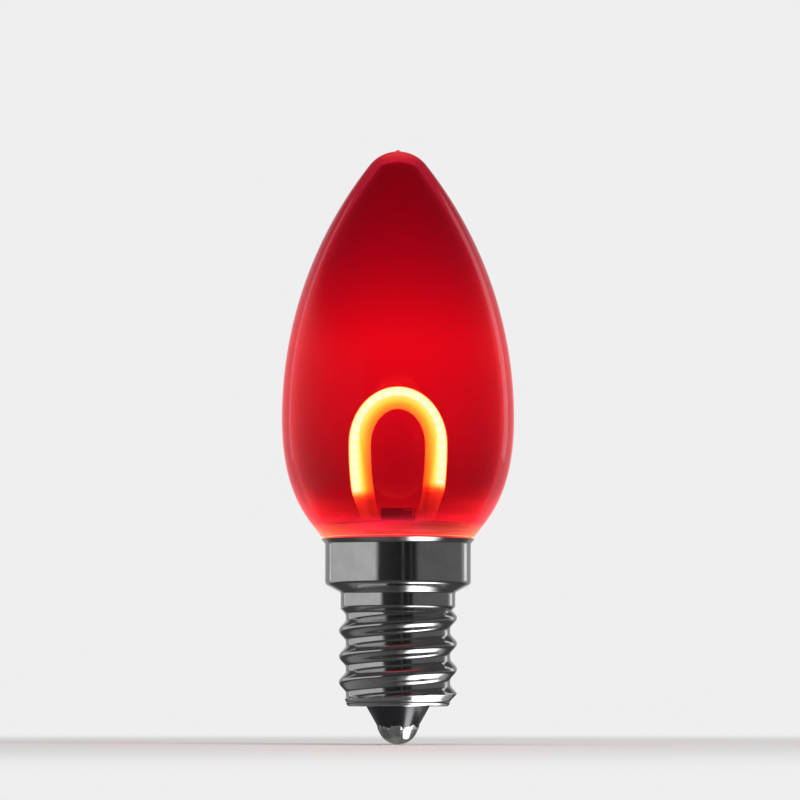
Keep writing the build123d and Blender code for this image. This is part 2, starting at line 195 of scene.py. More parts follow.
class Graph:
    """Short way to add nodes to one tree and join them."""

    def __init__(self, tree: bpy.types.NodeTree) -> None:
        """Keep the tree."""
        self.tree = tree

    def add(
        self, kind: str, feeds: Optional[dict[Union[str, int], Value]] = None, **settings: object
    ) -> bpy.types.Node:
        """Add one node.

        Args:
            kind: Blender's name of the node type.
            feeds: What goes into its sockets, by name or place.
            **settings: The node's own settings.

        Returns:
            The node.
        """
        node = self.tree.nodes.new(kind)
        for name, value in settings.items():
            setattr(node, name, value)
        for key, value in (feeds or {}).items():
            self.feed(node.inputs[key], value)
        return node

    def feed(self, socket: Socket, value: Value) -> None:
        """Link a socket to another one, or set its plain value.

        Args:
            socket: Socket that takes the value.
            value: Another socket, or a plain value.
        """
        if isinstance(value, Socket):
            self.tree.links.new(value, socket)
        else:
            socket.default_value = value

    def math(self, operation: str, *values: Value) -> Socket:
        """Add one sum.

        Args:
            operation: Blender's name of the sum.
            *values: Its operands.

        Returns:
            The socket with the result.
        """
        node = self.add("ShaderNodeMath", operation=operation)
        for socket, value in zip(node.inputs, values):
            self.feed(socket, value)
        return node.outputs[0]

    def blend(self, share: Value, first: Value, second: Value) -> Socket:
        """Mix two colours.

        Args:
            share: How much of the second colour there is.
            first: Colour at 0.
            second: Colour at 1.

        Returns:
            The socket with the mixed colour.
        """
        node = self.add("ShaderNodeMix", data_type="RGBA")
        ports = [socket for socket in node.inputs if socket.enabled]
        for socket, value in zip(ports, (share, first, second)):
            self.feed(socket, value)
        return next(socket for socket in node.outputs if socket.enabled)

    def ramp(self, share: Value, stops: Sequence[tuple[float, Colour]]) -> Socket:
        """Look a colour up on a smooth ramp.

        Args:
            share: Place on the ramp, 0 to 1.
            stops: Places and their colours, in order.

        Returns:
            The socket with the colour.
        """
        node = self.add("ShaderNodeValToRGB", {0: share})
        elements = node.color_ramp.elements
        while len(elements) < len(stops):
            elements.new(1.0)
        for element, (place, colour) in zip(elements, stops):
            element.position = place
            element.color = opaque(colour)
        return node.outputs["Color"]

    def span(self, value: Value, low: float, high: float, soft: bool = True) -> Socket:
        """Share of the way from one value to another.

        Args:
            value: What is measured.
            low: Value that gives 0.
            high: Value that gives 1.
            soft: Whether both ends ease in.

        Returns:
            The socket with the share, held between 0 and 1.
        """
        kind = "SMOOTHSTEP" if soft else "LINEAR"
        node = self.add("ShaderNodeMapRange", {"Value": value}, interpolation_type=kind)
        node.inputs["From Min"].default_value = low
        node.inputs["From Max"].default_value = high
        return node.outputs[0]

    def noise(self, place: Value, scale: Value, detail: float = 2.0) -> Socket:
        """Lay a soft random pattern.

        Args:
            place: Coordinates it lies on.
            scale: How many patches there are to the metre.
            detail: How many finer patterns are added to it.

        Returns:
            The socket with the pattern.
        """
        feeds = {"Vector": place, "Scale": scale, "Detail": detail}
        return self.add("ShaderNodeTexNoise", feeds).outputs[0]

    def bump(self, shader: bpy.types.Node, height: Value, strength: float, depth: float) -> None:
        """Give a shader's surface a relief.

        Args:
            shader: Shader whose normal is fed.
            height: Height over the surface, 0 to 1.
            strength: How much of the relief shows.
            depth: Depth of the relief.
        """
        feeds = {"Height": height, "Strength": strength, "Distance": depth * MM}
        relief = self.add("ShaderNodeBump", feeds)
        self.feed(shader.inputs["Normal"], relief.outputs[0])


def scale_of(size: float) -> float:
    """Texture scale that gives patches of a size."""
    return 1 / (size * MM)


def opaque(colour: Colour) -> tuple[float, float, float, float]:
    """Colour with full cover."""
    return (*colour, 1.0)


class InputKind(Enum):
    """Kinds of input that a shape's tree has."""

    LENGTH = "NodeSocketFloat"
    COUNT = "NodeSocketInt"
    FINISH = "NodeSocketMaterial"


class ShapeTree:
    """Geometry Nodes tree with named inputs, whose result becomes a plain mesh."""

    def __init__(self, name: str, inputs: dict[str, InputKind]) -> None:
        """Make the tree and its inputs.

        Args:
            name: Name of the tree.
            inputs: Names and kinds of its inputs, beside the geometry and the material.
        """
        self.tree = bpy.data.node_groups.new(name, "GeometryNodeTree")
        self.graph = Graph(self.tree)
        face = self.tree.interface
        face.new_socket("Geometry", in_out="INPUT", socket_type="NodeSocketGeometry")
        self.keys: dict[str, str] = {}
        for label, kind in {**inputs, "Material": InputKind.FINISH}.items():
            self.keys[label] = face.new_socket(label, in_out="INPUT", socket_type=kind.value).identifier
        face.new_socket("Geometry", in_out="OUTPUT", socket_type="NodeSocketGeometry")
        self.entry = self.graph.add("NodeGroupInput").outputs
        self.close(self.build())

    def build(self) -> Socket:
        """Add the nodes that make the shape, and give their last geometry."""
        raise NotImplementedError

    def close(self, geometry: Socket) -> None:
        """Realize what the tree made, give it its material and put it out.

        Args:
            geometry: Last geometry of the shape.
        """
        real = self.graph.add("GeometryNodeRealizeInstances", {"Geometry": geometry})
        feeds = {"Geometry": real.outputs[0], "Material": self.entry["Material"]}
        dressed = self.graph.add("GeometryNodeSetMaterial", feeds)
        self.graph.add("NodeGroupOutput", {"Geometry": dressed.outputs[0]})

    def coordinates(self) -> tuple[Socket, Socket, Socket]:
        """Read each point's place.

        Returns:
            The sockets with its three coordinates.
        """
        place = self.graph.add("GeometryNodeInputPosition").outputs[0]
        x, y, z = self.graph.add("ShaderNodeSeparateXYZ", {0: place}).outputs
        return x, y, z

    def shape(self, piece: Piece, **values: Value) -> None:
        """Run the tree on a piece and keep the result as the piece's plain mesh.

        Args:
            piece: Object whose mesh goes into the tree.
            **values: The tree's inputs, named as they are with _ for a space.
        """
        modifier = piece.modifiers.new(self.tree.name, "NODES")
        modifier.node_group = self.tree
        for label, value in values.items():
            modifier[self.keys[label.replace("_", " ")]] = value
        depsgraph = bpy.context.evaluated_depsgraph_get()
        made = bpy.data.meshes.new_from_object(
            piece.evaluated_get(depsgraph), preserve_all_data_layers=True, depsgraph=depsgraph
        )
        piece.modifiers.remove(modifier)
        used = piece.data
        made.name = used.name
        piece.data = made
        bpy.data.meshes.remove(used)


class TurningTree(ShapeTree):
    """Turns an upright line of points, in their order, round the axis."""

    def __init__(self) -> None:
        """Make the tree."""
        super().__init__("Turned on the axis", {"Segments": InputKind.COUNT})

    def build(self) -> Socket:
        """Lay a grid of points over the line and the turn, and close its seam and poles.

        Returns:
            The turned skin.
        """
        g = self.graph
        line, segments = self.entry["Geometry"], self.entry["Segments"]
        across = g.math("ADD", segments, 1.0)
        size = g.add("GeometryNodeAttributeDomainSize", {"Geometry": line}, component="MESH")
        counts = {"Vertices X": size.outputs["Point Count"], "Vertices Y": across}
        grid = g.add("GeometryNodeMeshGrid", counts)
        index = g.add("GeometryNodeInputIndex").outputs[0]
        row = g.math("FLOOR", g.math("DIVIDE", g.math("ADD", index, 0.5), across))
        step = g.math("SUBTRACT", index, g.math("MULTIPLY", row, across))
        place = g.add("GeometryNodeInputPosition").outputs[0]
        sample = g.add("GeometryNodeSampleIndex", data_type="FLOAT_VECTOR", domain="POINT")
        for name, value in {"Geometry": line, "Value": place, "Index": row}.items():
            g.feed(sample.inputs[name], value)
        radius, _, height = g.add("ShaderNodeSeparateXYZ", {0: sample.outputs[0]}).outputs
        turn = g.math("MULTIPLY", g.math("DIVIDE", step, segments), math.tau)
        x = g.math("MULTIPLY", radius, g.math("COSINE", turn))
        y = g.math("MULTIPLY", radius, g.math("SINE", turn))
        turned = g.add("ShaderNodeCombineXYZ", {0: x, 1: y, 2: height}).outputs[0]
        feeds = {"Geometry": grid.outputs["Mesh"], "Position": turned}
        placed = g.add("GeometryNodeSetPosition", feeds)
        feeds = {"Geometry": placed.outputs[0], "Distance": MERGE_DISTANCE}
        return g.add("GeometryNodeMergeByDistance", feeds).outputs[0]


class ThreadTree(ShapeTree):
    """Rolls a round right-hand thread into the outside of a turned sheet."""

    LABELS = (
        "Root Radius",
        "Skin Depth",
        "Crest Rise",
        "Half Width",
        "Pitch",
        "First Crest",
        "Low Radius",
        "Low End",
        "High Radius",
        "High End",
        "Blend",
    )

    def __init__(self) -> None:
        """Make the tree."""
        super().__init__("Rolled thread", {label: InputKind.LENGTH for label in self.LABELS})

    def build(self) -> Socket:
        """Push the outer skin out to the ridge, with both ends run out on 45 degree cones.

        Returns:
            The sheet with its thread.
        """
        g = self.graph
        e = self.entry
        x, y, z = self.coordinates()
        radius = g.math("SQRT", g.math("ADD", g.math("MULTIPLY", x, x), g.math("MULTIPLY", y, y)))
        turn = g.math("DIVIDE", g.math("ARCTAN2", y, x), math.tau)
        climb = g.math("DIVIDE", g.math("SUBTRACT", z, e["First Crest"]), e["Pitch"])
        phase = g.math("WRAP", g.math("SUBTRACT", climb, turn), 0.5, -0.5)
        from_crest = g.math("MULTIPLY", g.math("ABSOLUTE", phase), e["Pitch"])
        off_crest = g.math("DIVIDE", from_crest, e["Half Width"])
        wave = g.math("COSINE", g.math("MULTIPLY", g.math("MINIMUM", off_crest, 1.0), math.pi))
        rise = g.math("MULTIPLY", g.math("MULTIPLY_ADD", wave, 0.5, 0.5), e["Crest Rise"])
        ridge = g.math("ADD", e["Root Radius"], rise)
        low_cone = g.math("ADD", e["Low Radius"], g.math("SUBTRACT", z, e["Low End"]))
        high_cone = g.math("ADD", e["High Radius"], g.math("SUBTRACT", e["High End"], z))
        held = g.math("SMOOTH_MIN", ridge, g.math("MINIMUM", low_cone, high_cone), e["Blend"])
        rolled = g.math("SMOOTH_MAX", radius, held, e["Blend"])
        outer = g.math("GREATER_THAN", radius, g.math("SUBTRACT", e["Root Radius"], e["Skin Depth"]))
        above = g.math("GREATER_THAN", z, e["Low End"])
        below = g.math("LESS_THAN", z, e["High End"])
        chosen = g.math("MULTIPLY", outer, g.math("MULTIPLY", above, below))
        scale = g.math("DIVIDE", rolled, radius)
        wide_x, wide_y = g.math("MULTIPLY", x, scale), g.math("MULTIPLY", y, scale)
        moved = g.add("ShaderNodeCombineXYZ", {0: wide_x, 1: wide_y, 2: z})
        feeds = {"Geometry": e["Geometry"], "Selection": chosen, "Position": moved.outputs[0]}
        return g.add("GeometryNodeSetPosition", feeds).outputs[0]


class SweepTree(ShapeTree):
    """Sweeps a rounded section along a flat line, cut level at both ends, and keeps its coordinates."""

    LABELS = ("Depth", "Width", "Corner", "Cut Height")
    CORNER_POINTS = 8

    def __init__(self) -> None:
        """Make the tree."""
        inputs = {label: InputKind.LENGTH for label in self.LABELS}
        super().__init__("Swept along the horseshoe", inputs)

    def keep(self, geometry: Socket, name: str, value: Socket) -> Socket:
        """Store a number on each point.

        Args:
            geometry: What carries it.
            name: Name of the attribute.
            value: The number.

        Returns:
            The geometry with the attribute.
        """
        node = self.graph.add("GeometryNodeStoreNamedAttribute", data_type="FLOAT", domain="POINT")
        for key, item in {"Geometry": geometry, "Name": name, "Value": value}.items():
            self.graph.feed(node.inputs[key], item)
        return node.outputs[0]

    def build(self) -> Socket:
        """Sweep the section and set both end rings on the cut.

        Returns:
            The swept solid.
        """
        g = self.graph
        e = self.entry
        rail = g.add("GeometryNodeMeshToCurve", {"Mesh": e["Geometry"]}).outputs[0]
        length = g.add("GeometryNodeSplineParameter").outputs["Length"]
        rail = self.keep(rail, "along", length)
        ends = g.add("GeometryNodeCurveEndpointSelection").outputs[0]
        rail = self.keep(rail, "cut", ends)
        feeds = {"Width": e["Depth"], "Height": e["Width"]}
        frame = g.add("GeometryNodeCurvePrimitiveQuadrilateral", feeds)
        feeds = {"Curve": frame.outputs[0], "Count": self.CORNER_POINTS, "Radius": e["Corner"]}
        section = g.add("GeometryNodeFilletCurve", feeds, mode="POLY")
        profile = self.keep(section.outputs[0], "radial", self.coordinates()[1])
        feeds = {"Curve": rail, "Profile Curve": profile, "Fill Caps": True}
        swept = g.add("GeometryNodeCurveToMesh", feeds).outputs[0]
        cut = g.add("GeometryNodeInputNamedAttribute", {"Name": "cut"}, data_type="FLOAT").outputs[0]
        x, y, _ = self.coordinates()
        level = g.add("ShaderNodeCombineXYZ", {0: x, 1: y, 2: e["Cut Height"]}).outputs[0]
        chosen = g.math("GREATER_THAN", cut, 0.5)
        feeds = {"Geometry": swept, "Selection": chosen, "Position": level}
        return g.add("GeometryNodeSetPosition", feeds).outputs[0]


# Finishes


STAIN_DETAIL = 4.0
STAIN_RANGE = (0.35, 0.7)
GRAIN_DETAIL = 3.0


def surface_grain() -> bpy.types.ShaderNodeTree:
    """Shader group, built once: soft stains and fine grain over a surface.

    Returns:
        The group, with a place, a stain scale and a grain scale in, and a stain and a height out.
    """
    name = "Surface grain"
    if name in bpy.data.node_groups:
        return bpy.data.node_groups[name]
    tree = bpy.data.node_groups.new(name, "ShaderNodeTree")
    tree.interface.new_socket("Place", in_out="INPUT", socket_type="NodeSocketVector")
    for label in ("Stain Scale", "Grain Scale"):
        tree.interface.new_socket(label, in_out="INPUT", socket_type="NodeSocketFloat")
    for label in ("Stain", "Height"):
        tree.interface.new_socket(label, in_out="OUTPUT", socket_type="NodeSocketFloat")
    g = Graph(tree)
    entry = g.add("NodeGroupInput").outputs
    stain = g.noise(entry["Place"], entry["Stain Scale"], STAIN_DETAIL)
    grain = g.noise(entry["Place"], entry["Grain Scale"], GRAIN_DETAIL)
    g.add("NodeGroupOutput", {"Stain": g.span(stain, *STAIN_RANGE), "Height": grain})
    return tree


def grain_over(g: Graph, place: Socket, stain_size: float, grain_size: float) -> tuple[Socket, Socket]:
    """Lay the surface grain in a material.

    Args:
        g: The material's graph.
        place: Object coordinates.
        stain_size: Size of the stains.
        grain_size: Size of the grain.

    Returns:
        The sockets with the stain and the height.
    """
    scales = {"Stain Scale": scale_of(stain_size), "Grain Scale": scale_of(grain_size)}
    group = g.add("ShaderNodeGroup", {"Place": place, **scales}, node_tree=surface_grain())
    return group.outputs["Stain"], group.outputs["Height"]


def new_material(name: str) -> tuple[bpy.types.Material, Graph, bpy.types.Node, bpy.types.Node]:
    """Start a material.

    Args:
        name: Its name.

    Returns:
        The material, its graph, its Principled shader and its output.
    """
    material = bpy.data.materials.new(name)
    material.use_nodes = True
    nodes = material.node_tree.nodes
    nodes.clear()
    graph = Graph(material.node_tree)
    shader = graph.add("ShaderNodeBsdfPrincipled")
    output = graph.add("ShaderNodeOutputMaterial", {"Surface": shader.outputs[0]})
    return material, graph, shader, output


@dataclass(frozen=True)
class GrainFinish:
    """Solid finish with stains and grain, for metal, plastic and board."""

    name: str
    colour: Colour
    stain: Colour
    metallic: float = 0.0
    roughness: Point = (0.3, 0.45)
    stain_size: float = 1.5
    grain_size: float = 0.12
    bump: float = 0.1
    bump_depth: float = 0.02
    coat: float = 0.0

    def material(self) -> bpy.types.Material:
        """Build the material, or give the one that is there.

        Returns:
            The material.
        """
        if self.name in bpy.data.materials:
            return bpy.data.materials[self.name]
        material, g, shader, _ = new_material(self.name)
        place = g.add("ShaderNodeTexCoord").outputs["Object"]
        stain, height = grain_over(g, place, self.stain_size, self.grain_size)
        self.paint(g, shader, place, stain)
        low, high = self.roughness
        rough = g.add("ShaderNodeMapRange", {"Value": stain, "To Min": low, "To Max": high})
        g.feed(shader.inputs["Roughness"], rough.outputs[0])
        g.bump(shader, height, self.bump, self.bump_depth)
        shader.inputs["Metallic"].default_value = self.metallic
        shader.inputs["Coat Weight"].default_value = self.coat
        return material

    def paint(self, g: Graph, shader: bpy.types.Node, place: Socket, stain: Socket) -> None:
        """Feed the shader's colour.

        Args:
            g: The material's graph.
            shader: Its Principled shader.
            place: Object coordinates; not used here.
            stain: Stain over the surface, 0 to 1.
        """
        g.feed(shader.inputs["Base Color"], g.blend(stain, opaque(self.colour), opaque(self.stain)))


@dataclass(frozen=True)
class MetalStripe:
    """Stripe of metal colour on the board's face, for copper runs and painted highlights: its middle,
    half width and half height.
    """

    x: float
    z: float
    half_w: float
    half_h: float


@dataclass(frozen=True)
class BoardFinish(GrainFinish):
    """Solder mask with stripes of metal colour: copper runs, and painted highlights."""

    metal: Colour = (0.9, 0.6, 0.32)
    metal_share: float = 0.3
    traces_and_highlights: tuple[MetalStripe, ...] = ()

    def paint(self, g: Graph, shader: bpy.types.Node, place: Socket, stain: Socket) -> None:
        """Feed the shader's colour and metal.

        Args:
            g: The material's graph.
            shader: Its Principled shader.
            place: Object coordinates.
            stain: Stain over the surface, 0 to 1.
        """
        x, _, z = g.add("ShaderNodeSeparateXYZ", {0: place}).outputs
        stripe_mask: Value = 0.0
        # Metal colour painted in stripes, some of them highlights.
        for stripe in self.traces_and_highlights:
            in_x = g.math("COMPARE", x, stripe.x * MM, stripe.half_w * MM)
            in_z = g.math("COMPARE", z, stripe.z * MM, stripe.half_h * MM)
            stripe_mask = g.math("MAXIMUM", stripe_mask, g.math("MULTIPLY", in_x, in_z))
        mask = g.blend(stain, opaque(self.colour), opaque(self.stain))
        g.feed(shader.inputs["Base Color"], g.blend(stripe_mask, mask, opaque(self.metal)))
        g.feed(shader.inputs["Metallic"], g.math("MULTIPLY", stripe_mask, self.metal_share))


@dataclass(frozen=True)
class GlassFinish:
    """Tinted glass with painted light and shade in its tint by height, and a painted glow by height and
    at the rim.
    """

    name: str
    # Tint by height, with light and shade painted into it.
    lit_and_shaded_tints: Stops
    low: float
    high: float
    shade: Colour
    # Colours of the painted glow by height and of the painted rim glow by height.
    glow: Stops
    rim: Stops
    streak_size: float = 7.0
    streak_stretch: float = 14.0
    streak_detail: float = 3.0
    streak_noise: Point = (0.3, 0.7)
    streak_range: Point = (0.0, 1.7)
    streak_top: float = 0.12
    foot_top: float = 0.14
    foot_power: float = 1.6
    painted_rim_power: float = 4.0
    painted_rim_share: float = 0.8
    painted_glow_strength: float = 1.0
    side_depth: float = 0.35
    deep: Colour = (0.0, 0.0, 0.0)
    sheen_tint: Colour = (0.1, 0.07, 0.08)
    clear: float = 0.96
    ior: float = 1.49
    roughness: float = 0.035
    ripple_size: float = 9.0
    ripple_detail: float = 1.0
    ripple: float = 0.06
    ripple_depth: float = 0.15

    def streaks(self, g: Graph, place: Socket, share: Socket) -> Socket:
        """Level streaks in the painted glow of the foot, with an even glow above the foot.

        Args:
            g: The material's graph.
            place: Object coordinates.
            share: Share of the height.

        Returns:
            The socket with how much of the glow shows.
        """
        feeds = {"Vector": place, "Scale": (1.0, 1.0, self.streak_stretch)}
        squeezed = g.add("ShaderNodeMapping", feeds).outputs[0]
        noise = g.noise(squeezed, scale_of(self.streak_size), self.streak_detail)
        feeds = {"Value": noise, "From Min": self.streak_noise[0], "From Max": self.streak_noise[1]}
        feeds |= {"To Min": self.streak_range[0], "To Max": self.streak_range[1]}
        streaked = g.add("ShaderNodeMapRange", feeds).outputs[0]
        foot = g.span(share, self.streak_top, self.streak_top / 2)
        return g.math("MULTIPLY_ADD", streaked, foot, g.math("SUBTRACT", 1.0, foot))

    def painted_glow_and_rim(self, g: Graph, place: Socket, share: Socket, facing: Socket) -> Socket:
        """Painted glow in the glass by height, and a painted rim glow that is wider at the foot.

        Args:
            g: The material's graph.
            place: Object coordinates.
            share: Share of the height.
            facing: How far the surface turns away.

        Returns:
            The socket with the painted glow's colour.
        """
        at_foot = g.span(share, self.foot_top, self.foot_top / 2)
        power = g.math("MULTIPLY_ADD", at_foot, self.foot_power - self.painted_rim_power, self.painted_rim_power)
        rim = g.math("MULTIPLY", g.math("POWER", facing, power), self.painted_rim_share)
        glow = g.add("ShaderNodeVectorMath", {0: g.ramp(share, self.glow)}, operation="SCALE")
        g.feed(glow.inputs["Scale"], self.streaks(g, place, share))
        return g.blend(rim, glow.outputs[0], g.ramp(share, self.rim))

    def material(self) -> bpy.types.Material:
        """Build the material, with lamps let through in the tint.

        Returns:
            The material.
        """
        material, g, shader, output = new_material(self.name)
        place = g.add("ShaderNodeTexCoord").outputs["Object"]
        height = g.add("ShaderNodeSeparateXYZ", {0: place}).outputs[2]
        share = g.span(height, self.low * MM, self.high * MM, soft=False)
        facing = g.add("ShaderNodeLayerWeight").outputs["Facing"]
        deeper = g.math("MULTIPLY", facing, self.side_depth)
        # The height ramp paints light and shade into the tint; the sides go deeper towards black.
        tint = g.blend(deeper, g.ramp(share, self.lit_and_shaded_tints), opaque(self.deep))
        g.feed(shader.inputs["Base Color"], tint)
        # Emission paints a glow into the glass, by height and along the rim.
        g.feed(shader.inputs["Emission Color"], self.painted_glow_and_rim(g, place, share, facing))
        ripple = g.noise(place, scale_of(self.ripple_size), self.ripple_detail)
        g.bump(shader, ripple, self.ripple, self.ripple_depth)
        shader.inputs["Emission Strength"].default_value = self.painted_glow_strength
        shader.inputs["Roughness"].default_value = self.roughness
        shader.inputs["IOR"].default_value = self.ior
        shader.inputs["Transmission Weight"].default_value = self.clear
        shader.inputs["Specular Tint"].default_value = opaque(self.sheen_tint)
        film = g.add("ShaderNodeBsdfTransparent", {"Color": opaque(self.shade)})
        lamp = g.add("ShaderNodeLightPath").outputs["Is Shadow Ray"]
        mixed = g.add("ShaderNodeMixShader", {0: lamp, 1: shader.outputs[0], 2: film.outputs[0]})
        g.feed(output.inputs["Surface"], mixed.outputs[0])
        return material


@dataclass(frozen=True)
class GlowFinish:
    """Silicone jacket lit by the chips in it, along its own length and across its section."""

    name: str
    crown: float
    pitch: float
    lit_left: float
    lit_right: float
    half_width: float
    fade: float = 1.4
    strength: float = 25.0
    silicone: Colour = (0.95, 0.8, 0.6)
    unlit: Colour = (0.76, 0.6, 0.66)
    # Brightness from the lit part into the unlit ends, which keep a faint painted red glow.
    fading: Stops = (
        (0.0, (0.006, 0.0, 0.0)),
        (0.4, (0.4, 0.09, 0.01)),
        (0.75, (0.8, 0.6, 0.2)),
        (1.0, (1.0, 1.0, 1.0)),
    )
    across: Stops = (
        (0.0, (0.1, 0.06, 0.001)),
        (0.14, (0.16, 0.15, 0.004)),
        (0.32, (0.36, 0.46, 0.014)),
        (0.5, (0.54, 0.84, 0.08)),
        (0.66, (0.62, 1.0, 0.34)),
        (0.88, (0.62, 1.0, 0.34)),
        (1.0, (0.5, 0.8, 0.14)),
    )
    chip_glow: Colour = (0.7, 1.0, 0.62)
    chip_share: float = 0.74
    chip_spread: float = 0.24
    dot_range: Point = (-0.6, 1.0)
    clear: float = 0.25
    ior: float = 1.42
    roughness: float = 0.4
    grain_size: float = 0.4
    bump: float = 0.15
    bump_depth: float = 0.05

    def material(self) -> bpy.types.Material:
        """Build the material from the jacket's own coordinates.

        Returns:
            The material.
        """
        material, g, shader, _ = new_material(self.name)
        along = g.add("ShaderNodeAttribute", attribute_name="along").outputs["Fac"]
        radial = g.add("ShaderNodeAttribute", attribute_name="radial").outputs["Fac"]
        share = g.span(radial, -self.half_width * MM, self.half_width * MM, soft=False)
        from_crown = g.math("SUBTRACT", along, self.crown * MM)
        wave = g.math("COSINE", g.math("MULTIPLY", from_crown, math.tau / (self.pitch * MM)))
        dot = g.span(wave, *self.dot_range)
        off_chip = g.math("ABSOLUTE", g.math("SUBTRACT", share, self.chip_share))
        near_chip = g.span(off_chip, self.chip_spread, 0.0)
        chip = g.math("MULTIPLY", dot, near_chip)
        colour = g.blend(chip, g.ramp(share, self.across), opaque(self.chip_glow))
        left = g.span(from_crown, -(self.lit_left + self.fade) * MM, -self.lit_left * MM)
        right = g.span(from_crown, (self.lit_right + self.fade) * MM, self.lit_right * MM)
        lit_share = g.math("MULTIPLY", left, right)
        lit = g.ramp(lit_share, self.fading)
        shown = g.add("ShaderNodeVectorMath", {0: colour, 1: lit}, operation="MULTIPLY")
        g.feed(shader.inputs["Emission Color"], shown.outputs[0])
        shader.inputs["Emission Strength"].default_value = self.strength
        place = g.add("ShaderNodeTexCoord").outputs["Object"]
        g.bump(shader, g.noise(place, scale_of(self.grain_size)), self.bump, self.bump_depth)
        base = g.blend(lit_share, opaque(self.unlit), opaque(self.silicone))
        g.feed(shader.inputs["Base Color"], base)
        shader.inputs["Roughness"].default_value = self.roughness
        shader.inputs["IOR"].default_value = self.ior
        shader.inputs["Transmission Weight"].default_value = self.clear
        return material


@dataclass(frozen=True)
class CompoundFinish:
    """Opaque sealing compound with cloudy patches."""

    name: str
    colour: Colour
    cloud: Colour
    cloud_size: float = 2.0
    grain_size: float = 0.5
    bump: float = 0.12
    bump_depth: float = 0.05
    roughness: float = 0.45
    ior: float = 1.45

    def material(self) -> bpy.types.Material:
        """Build the material.

        Returns:
            The material.
        """
        material, g, shader, _ = new_material(self.name)
        place = g.add("ShaderNodeTexCoord").outputs["Object"]
        cloud, height = grain_over(g, place, self.cloud_size, self.grain_size)
        colour = g.blend(cloud, opaque(self.colour), opaque(self.cloud))
        g.feed(shader.inputs["Base Color"], colour)
        g.bump(shader, height, self.bump, self.bump_depth)
        shader.inputs["Roughness"].default_value = self.roughness
        shader.inputs["IOR"].default_value = self.ior
        return material


NICKEL = GrainFinish(
    "nickel_plate",
    colour=(0.7, 0.7, 0.7),
    stain=(0.64, 0.64, 0.64),
    metallic=1.0,
    roughness=(0.09, 0.15),
    stain_size=1.6,
    grain_size=0.07,
    bump=0.06,
    bump_depth=0.01,
)
TIN = GrainFinish(
    "tin_solder",
    colour=(0.78, 0.78, 0.77),
    stain=(0.5, 0.5, 0.49),
    metallic=1.0,
    roughness=(0.12, 0.34),
    stain_size=0.8,
    grain_size=0.16,
    bump=0.35,
    bump_depth=0.04,
)
BRASS = GrainFinish(
    "eyelet_brass",
    colour=(0.72, 0.55, 0.26),
    stain=(0.5, 0.36, 0.15),
    metallic=1.0,
    roughness=(0.2, 0.4),
    stain_size=0.8,
    grain_size=0.1,
)
BLACK = GrainFinish(
    "black_insulator",
    colour=(0.012, 0.012, 0.013),
    stain=(0.02, 0.02, 0.02),
    roughness=(0.1, 0.2),
    stain_size=1.2,
    grain_size=0.1,
    bump=0.06,
    coat=0.8,
)
COPPER = GrainFinish(
    "copper_strip",
    colour=(0.75, 0.36, 0.16),
    stain=(0.6, 0.25, 0.1),
    metallic=1.0,
    roughness=(0.25, 0.4),
    stain_size=0.9,
    grain_size=0.1,
)
CHIP = GrainFinish(
    "chip_phosphor",
    colour=(0.9, 0.8, 0.3),
    stain=(0.85, 0.7, 0.2),
    roughness=(0.3, 0.5),
    stain_size=0.3,
    grain_size=0.06,
)
EPOXY = GrainFinish(
    "moulded_epoxy",
    colour=(0.02, 0.02, 0.02),
    stain=(0.035, 0.034, 0.033),
    roughness=(0.45, 0.6),
    stain_size=0.8,
    grain_size=0.06,
    bump=0.3,
)
GLAZE = GrainFinish(
    "resistor_glaze",
    colour=(0.015, 0.015, 0.017),
    stain=(0.03, 0.03, 0.03),
    roughness=(0.15, 0.25),
    stain_size=0.6,
    grain_size=0.08,
)
CERAMIC = GrainFinish(
    "fired_ceramic",
    colour=(0.5, 0.36, 0.2),
    stain=(0.4, 0.28, 0.15),
    roughness=(0.5, 0.65),
    stain_size=0.5,
    grain_size=0.05,
    bump=0.3,
)
LACQUER = GrainFinish(
    "resistor_lacquer",
    colour=(0.2, 0.34, 0.26),
    stain=(0.15, 0.27, 0.2),
    roughness=(0.25, 0.4),
    stain_size=0.8,
    grain_size=0.1,
    bump=0.2,
)
TINNED = GrainFinish(
    "tinned_wire",
    colour=(0.72, 0.71, 0.7),
    stain=(0.5, 0.5, 0.48),
    metallic=1.0,
    roughness=(0.2, 0.35),
    stain_size=0.7,
    grain_size=0.08,
)


# Pieces


def link(piece: Piece) -> Piece:
    """Put an object in the scene."""
    bpy.context.scene.collection.objects.link(piece)
    return piece


def line_piece(name: str, points: Iterable[Sequence[float]]) -> Piece:
    """Object with a line of points joined by edges.

    Args:
        name: Name of the piece.
        points: Places in millimetres, in order.

    Returns:
        The object, in the scene.
    """
    mesh = bpy.data.meshes.new(name)
    corners = [Vector(point) * MM for point in points]
    mesh.from_pydata(corners, [(index, index + 1) for index in range(len(corners) - 1)], [])
    return link(bpy.data.objects.new(name, mesh))


def settle(piece: Piece, sharp_angle: float) -> None:
    """Turn a piece's faces outwards and shade it smooth up to an angle.

    Args:
        piece: The piece.
        sharp_angle: Angle between faces past which their edge is sharp.
    """
    work = bmesh.new()
    work.from_mesh(piece.data)
    bmesh.ops.recalc_face_normals(work, faces=work.faces)
    if work.calc_volume(signed=True) < 0:
        bmesh.ops.reverse_faces(work, faces=work.faces)
    work.to_mesh(piece.data)
    work.free()
    piece.data.shade_smooth()
    piece.data.set_sharp_from_angle(angle=math.radians(sharp_angle))


def seat(piece: Piece, node: str) -> Piece:
    """Let a piece ride on the body in place of a CAD node.

    Args:
        piece: The finished piece.
        node: The node it stands for.

    Returns:
        The piece.
    """
    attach(piece, BODY)
    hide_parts(node)
    return piece


def dress(node: Piece, material: bpy.types.Material) -> None:
    """Give a CAD node its finish.

    Args:
        node: The node's object.
        material: The finish.
    """
    if not node.material_slots:
        node.data.materials.append(material)
    for slot in node.material_slots:
        slot.material = material


class Assembly:
    """Sub-assembly of the bulb."""

    def build(self, nodes: Nodes) -> list[Piece]:
        """Make its pieces, dress its CAD nodes, and give the new pieces."""
        raise NotImplementedError


